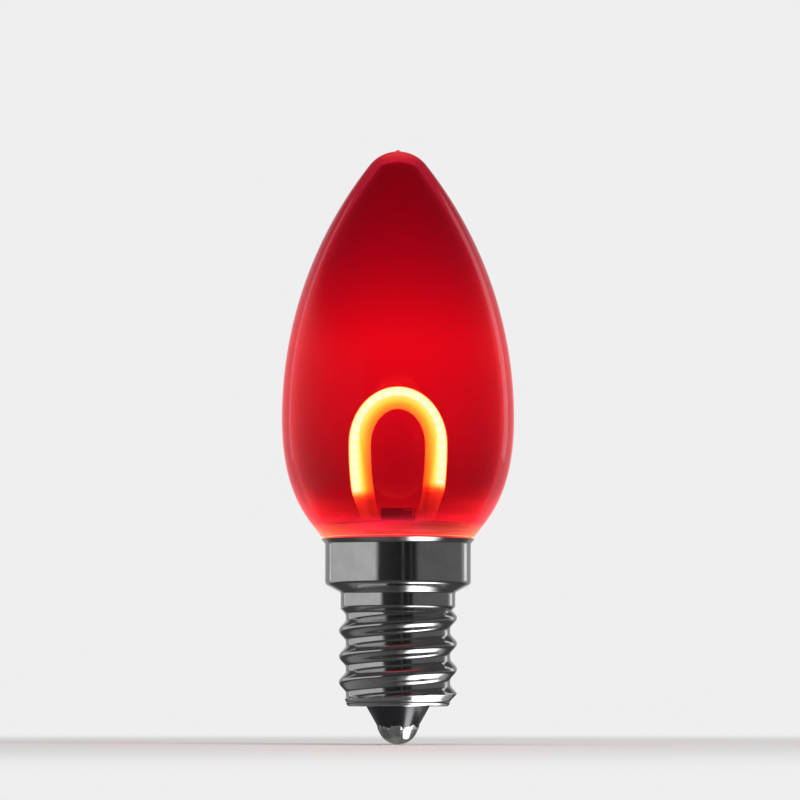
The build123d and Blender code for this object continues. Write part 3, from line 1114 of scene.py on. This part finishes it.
@dataclass
class Envelope(Assembly):
    """Red blown envelope with an even wall, a stem and a nub, and the compound that seals its neck."""

    turning: TurningTree
    seat_z: float = 20.479
    width: float = 23.06
    rise: float = 38.4
    wall: float = 1.0
    widest: float = 11.85
    nose_r: float = 3.6
    nub_foot: float = 0.42
    nub_rise: float = 0.15
    foot_r: float = 7.6
    belly_angle: float = 34.0
    foot_share: float = 0.19
    crown_share: float = 0.654
    stem_r: float = 6.87
    stem_l: float = 3.0
    fill: float = 1.45
    meniscus: float = 0.3
    meniscus_w: float = 0.7
    creep_top: Point = (0.1, 0.2)
    creep_foot: float = 0.4
    clearance: float = 0.02
    segments: int = 240
    nose_steps: int = 40
    side_steps: int = 64
    belly_steps: int = 48
    stem_steps: int = 4
    creep_steps: int = 10
    sharp: float = 40.0

    def meridian(self, inset: float) -> list[Point]:
        """Line of the surface from the nose down to the stem's end.

        Args:
            inset: 0 for the outside, the wall for the inside.

        Returns:
            Points of radius and height.
        """
        belly = math.radians(self.belly_angle)
        foot = (self.foot_r - inset * math.cos(belly), self.seat_z + inset * math.sin(belly))
        widest = (self.width / 2 - inset, self.seat_z + self.widest)
        rise = widest[1] - foot[1]
        foot_pull = self.foot_share * rise
        pull = (foot[0] + math.sin(belly) * foot_pull, foot[1] + math.cos(belly) * foot_pull)
        nose_r = self.nose_r - inset
        nose = (0.0, self.seat_z + self.rise - self.nose_r)
        lift = nose[1] - widest[1]
        ogive_r = (widest[0] ** 2 + lift**2 - nose_r**2) / (2 * (widest[0] - nose_r))
        join = math.degrees(math.atan2(lift, ogive_r - widest[0]))
        cap = arc_points(nose, nose_r, 90, join, self.nose_steps)
        side = arc_points((widest[0] - ogive_r, widest[1]), ogive_r, join, 0, self.side_steps)
        crown_pull = (widest[0], widest[1] - self.crown_share * rise)
        low = bezier_points((widest, crown_pull, pull, foot), self.belly_steps)
        stem_r = self.stem_r - inset
        shoulder = (foot[0] - stem_r) / math.tan(belly) if inset else 0.0
        stem_top, stem_end = (stem_r, foot[1] - shoulder), (stem_r, self.seat_z - self.stem_l)
        stem = straight_points(stem_top, stem_end, self.stem_steps)
        if not inset:
            cap = [self.with_nub(point) for point in cap]
        return cap[:-1] + side[:-1] + low + stem

    def with_nub(self, point: Point) -> Point:
        """Raise a point of the nose onto the nub."""
        share = min(point[0] / self.nub_foot, 1.0)
        return (point[0], point[1] + self.nub_rise * (0.5 + 0.5 * math.cos(math.pi * share)))

    def finish(self) -> bpy.types.Material:
        """Red tint painted lightest in the middle and darkest at the nose; painted glow at foot, rim
        and nub.

        Returns:
            The material.
        """
        # Painted light and shade by height: lightest about the middle, darkest at the nose.
        lit_and_shaded_tints = (
            (0.0, (0.7, 0.04, 0.055)),
            (0.14, (0.62, 0.035, 0.05)),
            (0.3, (0.74, 0.036, 0.052)),
            (0.5, (0.85, 0.034, 0.05)),
            (0.7, (0.66, 0.02, 0.04)),
            (0.85, (0.54, 0.012, 0.03)),
            (1.0, (0.5, 0.012, 0.03)),
        )
        # Painted glow by height: bright at the foot, a faint band part way up, and the nub.
        glow = (
            (0.0, (0.58, 0.035, 0.055)),
            (0.02, (0.36, 0.01, 0.032)),
            (0.06, (0.04, 0.0, 0.003)),
            (0.16, (0.01, 0.0, 0.003)),
            (0.32, (0.028, 0.0, 0.004)),
            (0.45, (0.045, 0.0, 0.004)),
            (0.55, (0.045, 0.0, 0.004)),
            (0.72, (0.01, 0.0, 0.004)),
            (0.97, (0.0, 0.0, 0.003)),
            (1.0, (0.3, 0.03, 0.03)),
        )
        # Painted rim glow by height: orange at the foot, red up the side and brighter again at the
        # nose.
        rim = (
            (0.0, (1.0, 0.42, 0.13)),
            (0.022, (1.0, 0.24, 0.09)),
            (0.034, (0.95, 0.04, 0.05)),
            (0.06, (0.9, 0.03, 0.04)),
            (0.35, (0.75, 0.012, 0.015)),
            (0.6, (0.4, 0.006, 0.008)),
            (0.8, (0.2, 0.003, 0.006)),
            (0.93, (0.32, 0.0, 0.004)),
            (1.0, (0.7, 0.0, 0.006)),
        )
        return GlassFinish(
            "red_glass",
            lit_and_shaded_tints=lit_and_shaded_tints,
            low=self.seat_z,
            high=self.seat_z + self.rise,
            shade=(0.92, 0.25, 0.28),
            glow=glow,
            rim=rim,
        ).material()

    def build(self, nodes: Nodes) -> list[Piece]:
        """Make the envelope and the compound.

        Args:
            nodes: The CAD nodes; not used.

        Returns:
            The pieces.
        """
        line = self.meridian(0.0) + self.meridian(self.wall)[::-1]
        piece = line_piece("red_envelope", [(r, 0.0, z) for r, z in line])
        self.turning.shape(piece, Segments=self.segments, Material=self.finish())
        settle(piece, self.sharp)
        return [seat(piece, "envelope"), self.compound()]

    def compound(self) -> Piece:
        """Make the sealing compound that fills the neck and creeps up the wall.

        Returns:
            The piece.
        """
        level = self.seat_z + self.fill
        inside = self.meridian(self.wall)[::-1]
        wall = [(r - self.clearance, z) for r, z in inside if z < level + self.meniscus]
        edge = wall[-1]
        top_in, top_up = self.creep_top
        top_pull = (edge[0] - top_in * self.meniscus_w, level + top_up * self.meniscus)
        foot_pull = (edge[0] - self.creep_foot * self.meniscus_w, level)
        foot = (edge[0] - self.meniscus_w, level)
        creep = bezier_points((edge, top_pull, foot_pull, foot), self.creep_steps)
        line = [(0.0, wall[0][1]), *wall, *creep[1:], (0.0, level)]
        piece = line_piece("neck_compound", [(r, 0.0, z) for r, z in line])
        finish = CompoundFinish("cloudy_compound", colour=(0.34, 0.3, 0.28), cloud=(0.24, 0.2, 0.18))
        self.turning.shape(piece, Segments=self.segments, Material=finish.material())
        settle(piece, self.sharp)
        return seat(piece, "neck_sealant")


@dataclass
class Filament(Assembly):
    """Horseshoe of silicone with the strip and the chips inside."""

    sweep: SweepTree
    crown_z: float = 34.3
    arch_r: float = 3.785
    arch_rise: float = 4.6
    leg_end_x: float = 2.825
    leg_end_z: float = 22.029
    leg_curve: float = 2.3
    width: float = 2.15
    depth: float = 2.0
    corner: float = 0.8
    chip_pitch: float = 0.86
    lit_left_z: float = 25.4
    lit_right_z: float = 26.1
    trim_z: float = 25.0
    trim: float = 0.45
    arch_steps: int = 36
    leg_steps: int = 14
    sharp: float = 40.0

    def leg_x(self, height: float) -> float:
        """Distance of a leg's middle from the axis.

        Args:
            height: Height on the leg.

        Returns:
            The distance.
        """
        spring_z = self.crown_z - self.arch_rise
        share = max((spring_z - height) / (spring_z - self.leg_end_z), 0.0)
        return self.arch_r + (self.leg_end_x - self.arch_r) * share**self.leg_curve

    def half_line(self) -> list[Point]:
        """Middle line of the horseshoe from the crown down the right leg to its end.

        Returns:
            Points across and up.
        """
        spring_z = self.crown_z - self.arch_rise
        arch = arc_points((0.0, 0.0), 1.0, 90, 0, self.arch_steps)[:-1]
        line = [(x * self.arch_r, spring_z + z * self.arch_rise) for x, z in arch]
        for step in range(self.leg_steps + 1):
            height = spring_z + (self.leg_end_z - spring_z) * step / self.leg_steps
            line.append((self.leg_x(height), height))
        return line

    def reach(self, height: float) -> float:
        """Length of the middle line from the crown down to a height.

        Args:
            height: Height on a leg.

        Returns:
            The length.
        """
        total = 0.0
        line = self.half_line()
        for first, last in zip(line, line[1:]):
            share = (first[1] - height) / (first[1] - last[1])
            total += math.dist(first, last) * min(max(share, 0.0), 1.0)
        return total

    def route(self) -> list[Place]:
        """Middle line of the horseshoe, from the left leg's end over the crown to the right one's.

        Returns:
            The points of the line.
        """
        right = self.half_line()
        left = [(-x, z) for x, z in right[:0:-1]]
        return [(x, 0.0, z) for x, z in left + right]

    def trim_ends(self, piece: Piece) -> None:
        """Draw the outer side of both legs in towards their ends.

        Args:
            piece: The swept jacket.
        """
        for vertex in piece.data.vertices:
            height = vertex.co.z / MM
            share = (self.trim_z - height) / (self.trim_z - self.leg_end_z)
            outside = abs(vertex.co.x) / MM - self.leg_x(height)
            if share > 0 and outside > 0:
                vertex.co.x -= math.copysign(outside * self.trim * share * MM, vertex.co.x)

    def finish(self) -> bpy.types.Material:
        """Silicone, lit down to where each leg's last chip is.

        Returns:
            The material.
        """
        return GlowFinish(
            "lit_silicone",
            crown=self.reach(self.leg_end_z),
            pitch=self.chip_pitch,
            lit_left=self.reach(self.lit_left_z),
            lit_right=self.reach(self.lit_right_z),
            half_width=self.width / 2,
        ).material()

    def build(self, nodes: Nodes) -> list[Piece]:
        """Make the jacket and dress what is in it.

        Args:
            nodes: The CAD nodes.

        Returns:
            The new piece.
        """
        piece = line_piece("silicone_jacket", self.route())
        self.sweep.shape(
            piece,
            Depth=self.depth * MM,
            Width=self.width * MM,
            Corner=self.corner * MM,
            Cut_Height=self.leg_end_z * MM,
            Material=self.finish(),
        )
        self.trim_ends(piece)
        settle(piece, self.sharp)
        dress(nodes["filament_strip"], COPPER.material())
        dress(nodes["led_chips"], CHIP.material())
        return [seat(piece, "filament_jacket")]


@dataclass
class ScrewCap(Assembly):
    """Plated shell with its rolled thread, the black insulator, the eyelet and the contact.

    Each of the lap's waves has its count round the axis, its size and its start in radians.
    """

    turning: TurningTree
    thread: ThreadTree
    sheet: float = 0.25
    foot_z: float = 3.75
    foot_hole_r: float = 3.18
    root_r: float = 5.15
    crest_rise: float = 0.7
    half_width: float = 1.145
    pitch: float = 2.54
    first_crest_z: float = 12.5
    run_out: float = 0.6
    neck_z: float = 13.6
    neck_r: float = 5.68
    step_z: float = 15.0
    collar_z: float = 15.819
    collar_r: float = 7.22
    flare_z: float = 19.819
    lip_r: float = 7.6
    lip_z: float = 20.269
    blend: float = 0.12
    row_step: float = 0.07
    contact_r: float = 1.95
    flange_z: float = 1.45
    cone_z: float = 1.65
    cone_top_r: float = 3.13
    disc_z: float = 4.0
    disc_rise: float = 0.15
    disc_top_z: float = 5.2
    disc_r: float = 4.85
    tube_r: float = 0.85
    bore_r: float = 0.55
    fit: float = 0.05
    lap: float = 0.04
    lap_rise: float = 0.22
    lap_mean: float = 0.55
    lap_waves: tuple[tuple[int, float, float], ...] = ((7, 1.0, 0.6), (17, 0.6, 2.0), (29, 0.5, 0.0))
    cone_slope: float = 0.56
    outer_bends: tuple[float, ...] = (0.4, 0.3, 0.3, 0.3, 0.5, 0.3)
    inner_bends: tuple[float, ...] = (0.15, 0.3, 0.3, 0.3, 0.25, 0.3)
    insulator_bends: tuple[float, ...] = (0.1, 0.2, 0.05, 0.1, 0.1)
    eyelet_bends: tuple[float, ...] = (0.06, 0.06, 0.05, 0.08)
    segments: int = 160
    dome_steps: int = 32
    shell_sharp: float = 50.0
    sharp: float = 35.0

    def shell_corners(self) -> list[Point]:
        """Corners of the sheet's outside, from the foot to the lip.

        Returns:
            Points of radius and height.
        """
        return [
            (self.foot_hole_r, self.foot_z),
            (self.root_r, self.foot_z),
            (self.root_r, self.neck_z - self.run_out),
            (self.neck_r, self.neck_z),
            (self.neck_r, self.step_z),
            (self.collar_r, self.collar_z),
            (self.collar_r, self.flare_z),
            (self.lip_r, self.lip_z),
        ]

    def shell(self) -> Piece:
        """Make the shell: the sheet is turned first, and then the thread is rolled.

        Returns:
            The piece.
        """
        corners = self.shell_corners()
        outside = []
        line = rounded_line(corners, self.outer_bends)
        for first, last in zip(line, line[1:]):
            rows = math.ceil(abs(last[1] - first[1]) / self.row_step) if last[1] < self.neck_z else 1
            outside += straight_points(first, last, max(1, rows))[:-1]
        outside.append(line[-1])
        inside = rounded_line(offset_corners(corners, self.sheet), self.inner_bends)
        closed = outside + inside[::-1] + outside[:1]
        piece = line_piece("threaded_shell", [(r, 0.0, z) for r, z in closed])
        material = NICKEL.material()
        self.turning.shape(piece, Segments=self.segments, Material=material)
        self.thread.shape(
            piece,
            Root_Radius=self.root_r * MM,
            Skin_Depth=self.sheet / 2 * MM,
            Crest_Rise=self.crest_rise * MM,
            Half_Width=self.half_width * MM,
            Pitch=self.pitch * MM,
            First_Crest=self.first_crest_z * MM,
            Low_Radius=(self.root_r - self.sheet / 2) * MM,
            Low_End=(self.foot_z + self.outer_bends[0]) * MM,
            High_Radius=(self.neck_r - self.sheet / 2) * MM,
            High_End=self.neck_z * MM,
            Blend=self.blend * MM,
            Material=material,
        )
        settle(piece, self.shell_sharp)
        return seat(piece, "screw_shell")

    def turned(self, name: str, line: Sequence[Point], material: bpy.types.Material) -> Piece:
        """Turn a small piece from its line of radius and height.

        Args:
            name: Name of the piece.
            line: The line, closed or with both ends on the axis.
            material: Its finish.

        Returns:
            The piece.
        """
        piece = line_piece(name, [(r, 0.0, z) for r, z in line])
        self.turning.shape(piece, Segments=self.segments // 2, Material=material)
        settle(piece, self.sharp)
        return piece

    def insulator(self) -> Piece:
        """Make the black insulator, a cone under the shell and a disc inside it.

        Returns:
            The piece.
        """
        bore_r = self.tube_r + self.fit
        corners = [
            (bore_r, self.cone_z),
            (self.contact_r, self.cone_z),
            (self.cone_top_r, self.foot_z),
            (self.cone_top_r, self.disc_z),
            (self.disc_r, self.disc_z + self.disc_rise),
            (self.disc_r, self.disc_top_z),
            (bore_r, self.disc_top_z),
        ]
        line = rounded_line(corners, self.insulator_bends)
        piece = self.turned("insulator_cone", line + line[:1], BLACK.material())
        return seat(piece, "base_insulator")

    def eyelet(self) -> Piece:
        """Make the brass eyelet, a flange under the cone and a tube through it.

        Returns:
            The piece.
        """
        corners = [
            (self.bore_r, self.flange_z),
            (self.contact_r, self.flange_z),
            (self.contact_r, self.cone_z),
            (self.tube_r, self.cone_z),
            (self.tube_r, self.disc_top_z),
            (self.bore_r, self.disc_top_z),
        ]
        line = rounded_line(corners, self.eyelet_bends)
        piece = self.turned("contact_ring", line + line[:1], BRASS.material())
        return seat(piece, "contact_eyelet")

    def lap_height(self, turn: float) -> float:
        """Height of the solder's ragged edge at an angle round the axis."""
        wave = sum(size * math.sin(count * turn + start) for count, size, start in self.lap_waves)
        return self.lap_rise * (wave / 2 + self.lap_mean)

    def contact(self) -> Piece:
        """Make the solder dome of the centre contact, run up ragged over the eyelet's flange.

        Returns:
            The piece.
        """
        dome_r = (self.contact_r**2 + self.flange_z**2) / (2 * self.flange_z)
        rim = math.degrees(math.atan2(self.flange_z - dome_r, self.contact_r))
        dome = arc_points((0.0, dome_r), dome_r, -90, rim, self.dome_steps)[:-1]
        lap = [(self.contact_r + self.lap, self.flange_z), (self.contact_r + self.lap, self.cone_z)]
        inner = [(self.contact_r, self.cone_z), (self.contact_r, self.flange_z)]
        line = dome + lap + inner + [(0.0, self.flange_z)]
        piece = self.turned("solder_contact", line, TIN.material())
        for vertex in piece.data.vertices:
            if vertex.co.z > (self.cone_z - self.lap) * MM:
                rise = self.lap_height(math.atan2(vertex.co.y, vertex.co.x))
                vertex.co.z += rise * MM
                spread = 1 + rise * self.cone_slope / self.contact_r
                vertex.co.x *= spread
                vertex.co.y *= spread
        return seat(piece, "contact_solder")

    def build(self, nodes: Nodes) -> list[Piece]:
        """Make the cap's pieces.

        Args:
            nodes: The CAD nodes; not used.

        Returns:
            The pieces.
        """
        return [self.shell(), self.insulator(), self.eyelet(), self.contact()]


@dataclass
class Driver(Assembly):
    """Driver board with what it carries."""

    tongue_z: float = 23.579
    shoulder_z: float = 21.279

    def board_finish(self) -> bpy.types.Material:
        """Dark solder mask with stripes of metal colour: a painted highlight along the top edge, a bent
        copper run painted to glint at the corner, a painted highlight just above the compound and a
        cross line lower down.

        Returns:
            The material.
        """
        top = self.tongue_z
        return BoardFinish(
            "dark_board",
            colour=(0.02, 0.05, 0.03),
            stain=(0.035, 0.07, 0.045),
            roughness=(0.3, 0.45),
            stain_size=1.2,
            grain_size=0.12,
            # The top edge stripe and the one just above the compound are painted highlights; the bent
            # one glints at the corner.
            traces_and_highlights=(
                MetalStripe(x=0.0, z=top, half_w=3.0, half_h=0.14),
                MetalStripe(x=1.5, z=top - 0.45, half_w=0.07, half_h=0.42),
                MetalStripe(x=1.0, z=top - 0.32, half_w=0.5, half_h=0.05),
                MetalStripe(x=0.0, z=top - 1.5, half_w=1.9, half_h=0.07),
                MetalStripe(x=0.0, z=self.shoulder_z - 0.7, half_w=4.0, half_h=0.06),
            ),
        ).material()

    def build(self, nodes: Nodes) -> list[Piece]:
        """Dress the board, what it carries and the leads.

        Args:
            nodes: The CAD nodes.

        Returns:
            No new piece.
        """
        finishes = {
            "driver_board": self.board_finish(),
            "rectifier_body": EPOXY.material(),
            "regulator_body": EPOXY.material(),
            "sense_resistor": GLAZE.material(),
            "smoothing_capacitor": CERAMIC.material(),
            "fuse_resistor": LACQUER.material(),
        }
        for name in ("filament_solder", "fuse_solder", "shell_lead_solder"):
            finishes[name] = TIN.material()
        for name in ("rectifier_leads", "regulator_leads", "chip_end_caps", "fuse_leads", "shell_lead"):
            finishes[name] = TINNED.material()
        for name, material in finishes.items():
            dress(nodes[name], material)
        return []


# Studio


WATTS_PER_BRIGHTNESS = 4.0


@dataclass(frozen=True)
class Lamp:
    """Soft box, with its place, its aim, its size and whether it shows in what shines."""

    name: str
    place: Place
    aim: Place
    width: float
    height: float
    brightness: float
    shines: bool = False

    def build(self) -> None:
        """Make the lamp, never seen itself."""
        data = bpy.data.lights.new(self.name, "AREA")
        data.shape = "RECTANGLE"
        data.size = self.width * MM
        data.size_y = self.height * MM
        data.energy = WATTS_PER_BRIGHTNESS * self.brightness * data.size * data.size_y
        lamp = link(bpy.data.objects.new(self.name, data))
        lamp.location = Vector(self.place) * MM
        lamp.rotation_mode = "QUATERNION"
        lamp.rotation_quaternion = (Vector(self.aim) * MM - lamp.location).to_track_quat("-Z", "Y")
        lamp.visible_camera = False
        lamp.visible_transmission = False
        lamp.visible_glossy = self.shines


@dataclass(frozen=True)
class Tones:
    """Grey tones round the bulb, by the angle from the front towards the right."""

    stops: tuple[Point, ...]

    def colour(self, g: Graph, x: Socket, y: Socket) -> Socket:
        """Look the tone of a direction up.

        Args:
            g: The graph of the material or the world.
            x: Direction towards the right.
            y: Direction towards the back.

        Returns:
            The socket with the tone.
        """
        turn = g.math("ARCTAN2", x, g.math("MULTIPLY", y, -1.0))
        share = g.math("MULTIPLY_ADD", turn, 1 / math.tau, 0.5)
        return g.ramp(share, [((angle + 180) / 360, (grey, grey, grey)) for angle, grey in self.stops])


@dataclass
class Studio:
    """Camera, pale floor with painted tones for what shines, soft lamps, and a pale surround with grey
    panels for what shines.
    """

    distance: float = 500.0
    eye_z: float = 3.0
    aim_z: float = 34.1
    aside: float = 0.2
    field: float = 9.06
    sensor: float = 36.0
    clip: Point = (10.0, 20000.0)
    pale: Colour = (0.86, 0.86, 0.87)
    floor_colour: Colour = (0.8, 0.8, 0.8)
    floor_rough: float = 0.6
    floor_r: float = 3000.0
    floor_segments: int = 96
    fill: float = 0.5
    overhead: float = 0.06
    panel_top: float = 0.35
    panel_blur: float = 0.1
    panels: Tones = Tones(
        (
            (-180.0, 0.55),
            (-166.0, 0.5),
            (-158.0, 0.32),
            (-134.0, 0.26),
            (-127.0, 0.5),
            (-36.0, 0.55),
            (-30.0, 0.03),
            (6.0, 0.012),
            (8.0, 0.1),
            (10.0, 0.012),
            (19.0, 0.012),
            (20.5, 0.08),
            (22.0, 0.012),
            (27.0, 0.02),
            (33.0, 0.12),
            (119.0, 0.13),
            (125.0, 0.32),
            (158.0, 0.3),
            (166.0, 0.5),
            (180.0, 0.55),
        )
    )
    # Painted tones that the floor shows to shiny surfaces, which reflect them as highlights and dark
    # bands.
    painted_floor_tones: Tones = Tones(
        (
            (-180.0, 0.25),
            (-110.0, 0.22),
            (-45.0, 0.12),
            (0.0, 0.07),
            (17.0, 0.25),
            (36.0, 3.4),
            (76.0, 3.4),
            (106.0, 0.4),
            (140.0, 0.25),
            (180.0, 0.25),
        )
    )
    # Painted bright patch beside the tip, which the insulator and the contact reflect as highlights.
    painted_highlight_tones: Tones = Tones(
        (
            (-180.0, 0.13),
            (27.0, 0.13),
            (36.0, 9.0),
            (54.0, 9.0),
            (64.0, 0.13),
            (180.0, 0.13),
        )
    )
    painted_tip_tone: float = 0.2
    tip_fade: Point = (1.3, 2.0)
    contact_fade: Point = (5.6, 6.6)
    cap_fade: Point = (12.0, 20.0)
    panel_fade: Point = (36.0, 76.0)
    pale_fade: Point = (50.0, 250.0)
    painted_floor_dark: float = 0.06
    lamps: tuple[Lamp, ...] = (
        Lamp(
            "key_right",
            place=(230.0, -240.0, 330.0),
            aim=(0.0, 0.0, 15.0),
            width=160.0,
            height=160.0,
            brightness=6.0,
        ),
        Lamp(
            "top_box",
            place=(-60.0, 0.0, 620.0),
            aim=(0.0, 0.0, 30.0),
            width=420.0,
            height=420.0,
            brightness=1.4,
        ),
        Lamp(
            "strip_right",
            place=(252.0, 243.0, 60.0),
            aim=(0.0, 0.0, 40.0),
            width=66.0,
            height=420.0,
            brightness=0.5,
            shines=True,
        ),
        Lamp(
            "strip_left",
            place=(-252.0, 243.0, 60.0),
            aim=(0.0, 0.0, 40.0),
            width=36.0,
            height=420.0,
            brightness=0.36,
            shines=True,
        ),
    )

    def camera(self) -> None:
        """Make the camera, low in front of the bulb and aimed a little upwards."""
        data = bpy.data.cameras.new("camera")
        data.sensor_width = self.sensor
        data.lens = data.sensor_width / 2 / math.tan(math.radians(self.field / 2))
        data.clip_start = self.clip[0] * MM
        data.clip_end = self.clip[1] * MM
        camera = link(bpy.data.objects.new("camera", data))
        camera.location = Vector((self.aside, -self.distance, self.eye_z)) * MM
        aim = Vector((self.aside, 0.0, self.aim_z)) * MM
        camera.rotation_mode = "QUATERNION"
        camera.rotation_quaternion = (aim - camera.location).to_track_quat("-Z", "Y")
        bpy.context.scene.camera = camera

    def floor(self) -> None:
        """Make the floor, which runs out into the pale surround, with painted highlights and tones that
        only shiny surfaces see.
        """
        work = bmesh.new()
        radius = self.floor_r * MM
        bmesh.ops.create_circle(work, cap_ends=True, segments=self.floor_segments, radius=radius)
        mesh = bpy.data.meshes.new("floor")
        work.to_mesh(mesh)
        work.free()
        material, g, shader, output = new_material("pale_floor")
        shader.inputs["Base Color"].default_value = opaque(self.floor_colour)
        shader.inputs["Roughness"].default_value = self.floor_rough
        place = g.add("ShaderNodeTexCoord").outputs["Object"]
        x, y, _ = g.add("ShaderNodeSeparateXYZ", {0: place}).outputs
        away = g.add("ShaderNodeVectorMath", {0: place}, operation="LENGTH").outputs["Value"]
        # What shiny surfaces see in the floor: painted tones in rings from the tip outwards.
        tone: Value = opaque((self.painted_tip_tone,) * 3)
        rings = (
            (self.tip_fade, self.painted_highlight_tones.colour(g, x, y)),
            (self.contact_fade, self.painted_floor_tones.colour(g, x, y)),
            (self.cap_fade, opaque((self.painted_floor_dark,) * 3)),
            (self.panel_fade, self.panels.colour(g, x, y)),
        )
        for (start, end), next_tone in rings:
            tone = g.blend(g.span(away, start * MM, end * MM), tone, next_tone)
        shine = g.add("ShaderNodeEmission", {"Color": tone})
        glow = g.add("ShaderNodeEmission", {"Color": opaque(self.pale)})
        far = g.span(away, self.pale_fade[0] * MM, self.pale_fade[1] * MM)
        plain = g.add("ShaderNodeMixShader", {0: far, 1: shader.outputs[0], 2: glow.outputs[0]})
        path = g.add("ShaderNodeLightPath").outputs
        glossy = g.math("SUBTRACT", path["Is Glossy Ray"], path["Is Transmission Ray"])
        glossy = g.math("MAXIMUM", glossy, 0.0)
        mixed = g.add("ShaderNodeMixShader", {0: glossy, 1: plain.outputs[0], 2: shine.outputs[0]})
        g.feed(output.inputs["Surface"], mixed.outputs[0])
        mesh.materials.append(material)
        link(bpy.data.objects.new("floor", mesh))

    def surround(self) -> None:
        """Make the surround: pale to look at, panelled for what shines, even for the rest."""
        world = bpy.data.worlds.new("surround")
        world.use_nodes = True
        world.node_tree.nodes.clear()
        g = Graph(world.node_tree)
        way = g.add("ShaderNodeTexCoord").outputs["Generated"]
        x, y, z = g.add("ShaderNodeSeparateXYZ", {0: way}).outputs
        low, high = self.panel_top - self.panel_blur, self.panel_top + self.panel_blur
        above = g.span(g.math("ABSOLUTE", z), low, high)
        panels = g.blend(above, self.panels.colour(g, x, y), opaque((self.overhead,) * 3))
        path = g.add("ShaderNodeLightPath").outputs
        shine = g.blend(path["Is Glossy Ray"], opaque((self.fill,) * 3), panels)
        seen = g.math("MAXIMUM", path["Is Camera Ray"], path["Is Transmission Ray"])
        colour = g.blend(seen, shine, opaque(self.pale))
        back = g.add("ShaderNodeBackground", {"Color": colour})
        g.add("ShaderNodeOutputWorld", {"Surface": back.outputs[0]})
        world.cycles.sampling_method = "NONE"
        bpy.context.scene.world = world

    def build(self) -> None:
        """Set the studio up."""
        bpy.context.scene.view_settings.view_transform = "Standard"
        self.camera()
        self.floor()
        self.surround()
        for lamp in self.lamps:
            lamp.build()


def main() -> None:
    """Build each sub-assembly around the frame, then the studio."""
    logging.basicConfig(level=logging.INFO, format="%(name)s: %(message)s")
    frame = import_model()
    nodes = frame["nodes"]
    turning = TurningTree()
    assemblies = (Envelope(turning), Filament(SweepTree()), ScrewCap(turning, ThreadTree()), Driver())
    for assembly in assemblies:
        for piece in assembly.build(nodes):
            LOG.info("%s: %d faces", piece.name, len(piece.data.polygons))
    Studio().build()


if __name__ == "__main__":
    main()
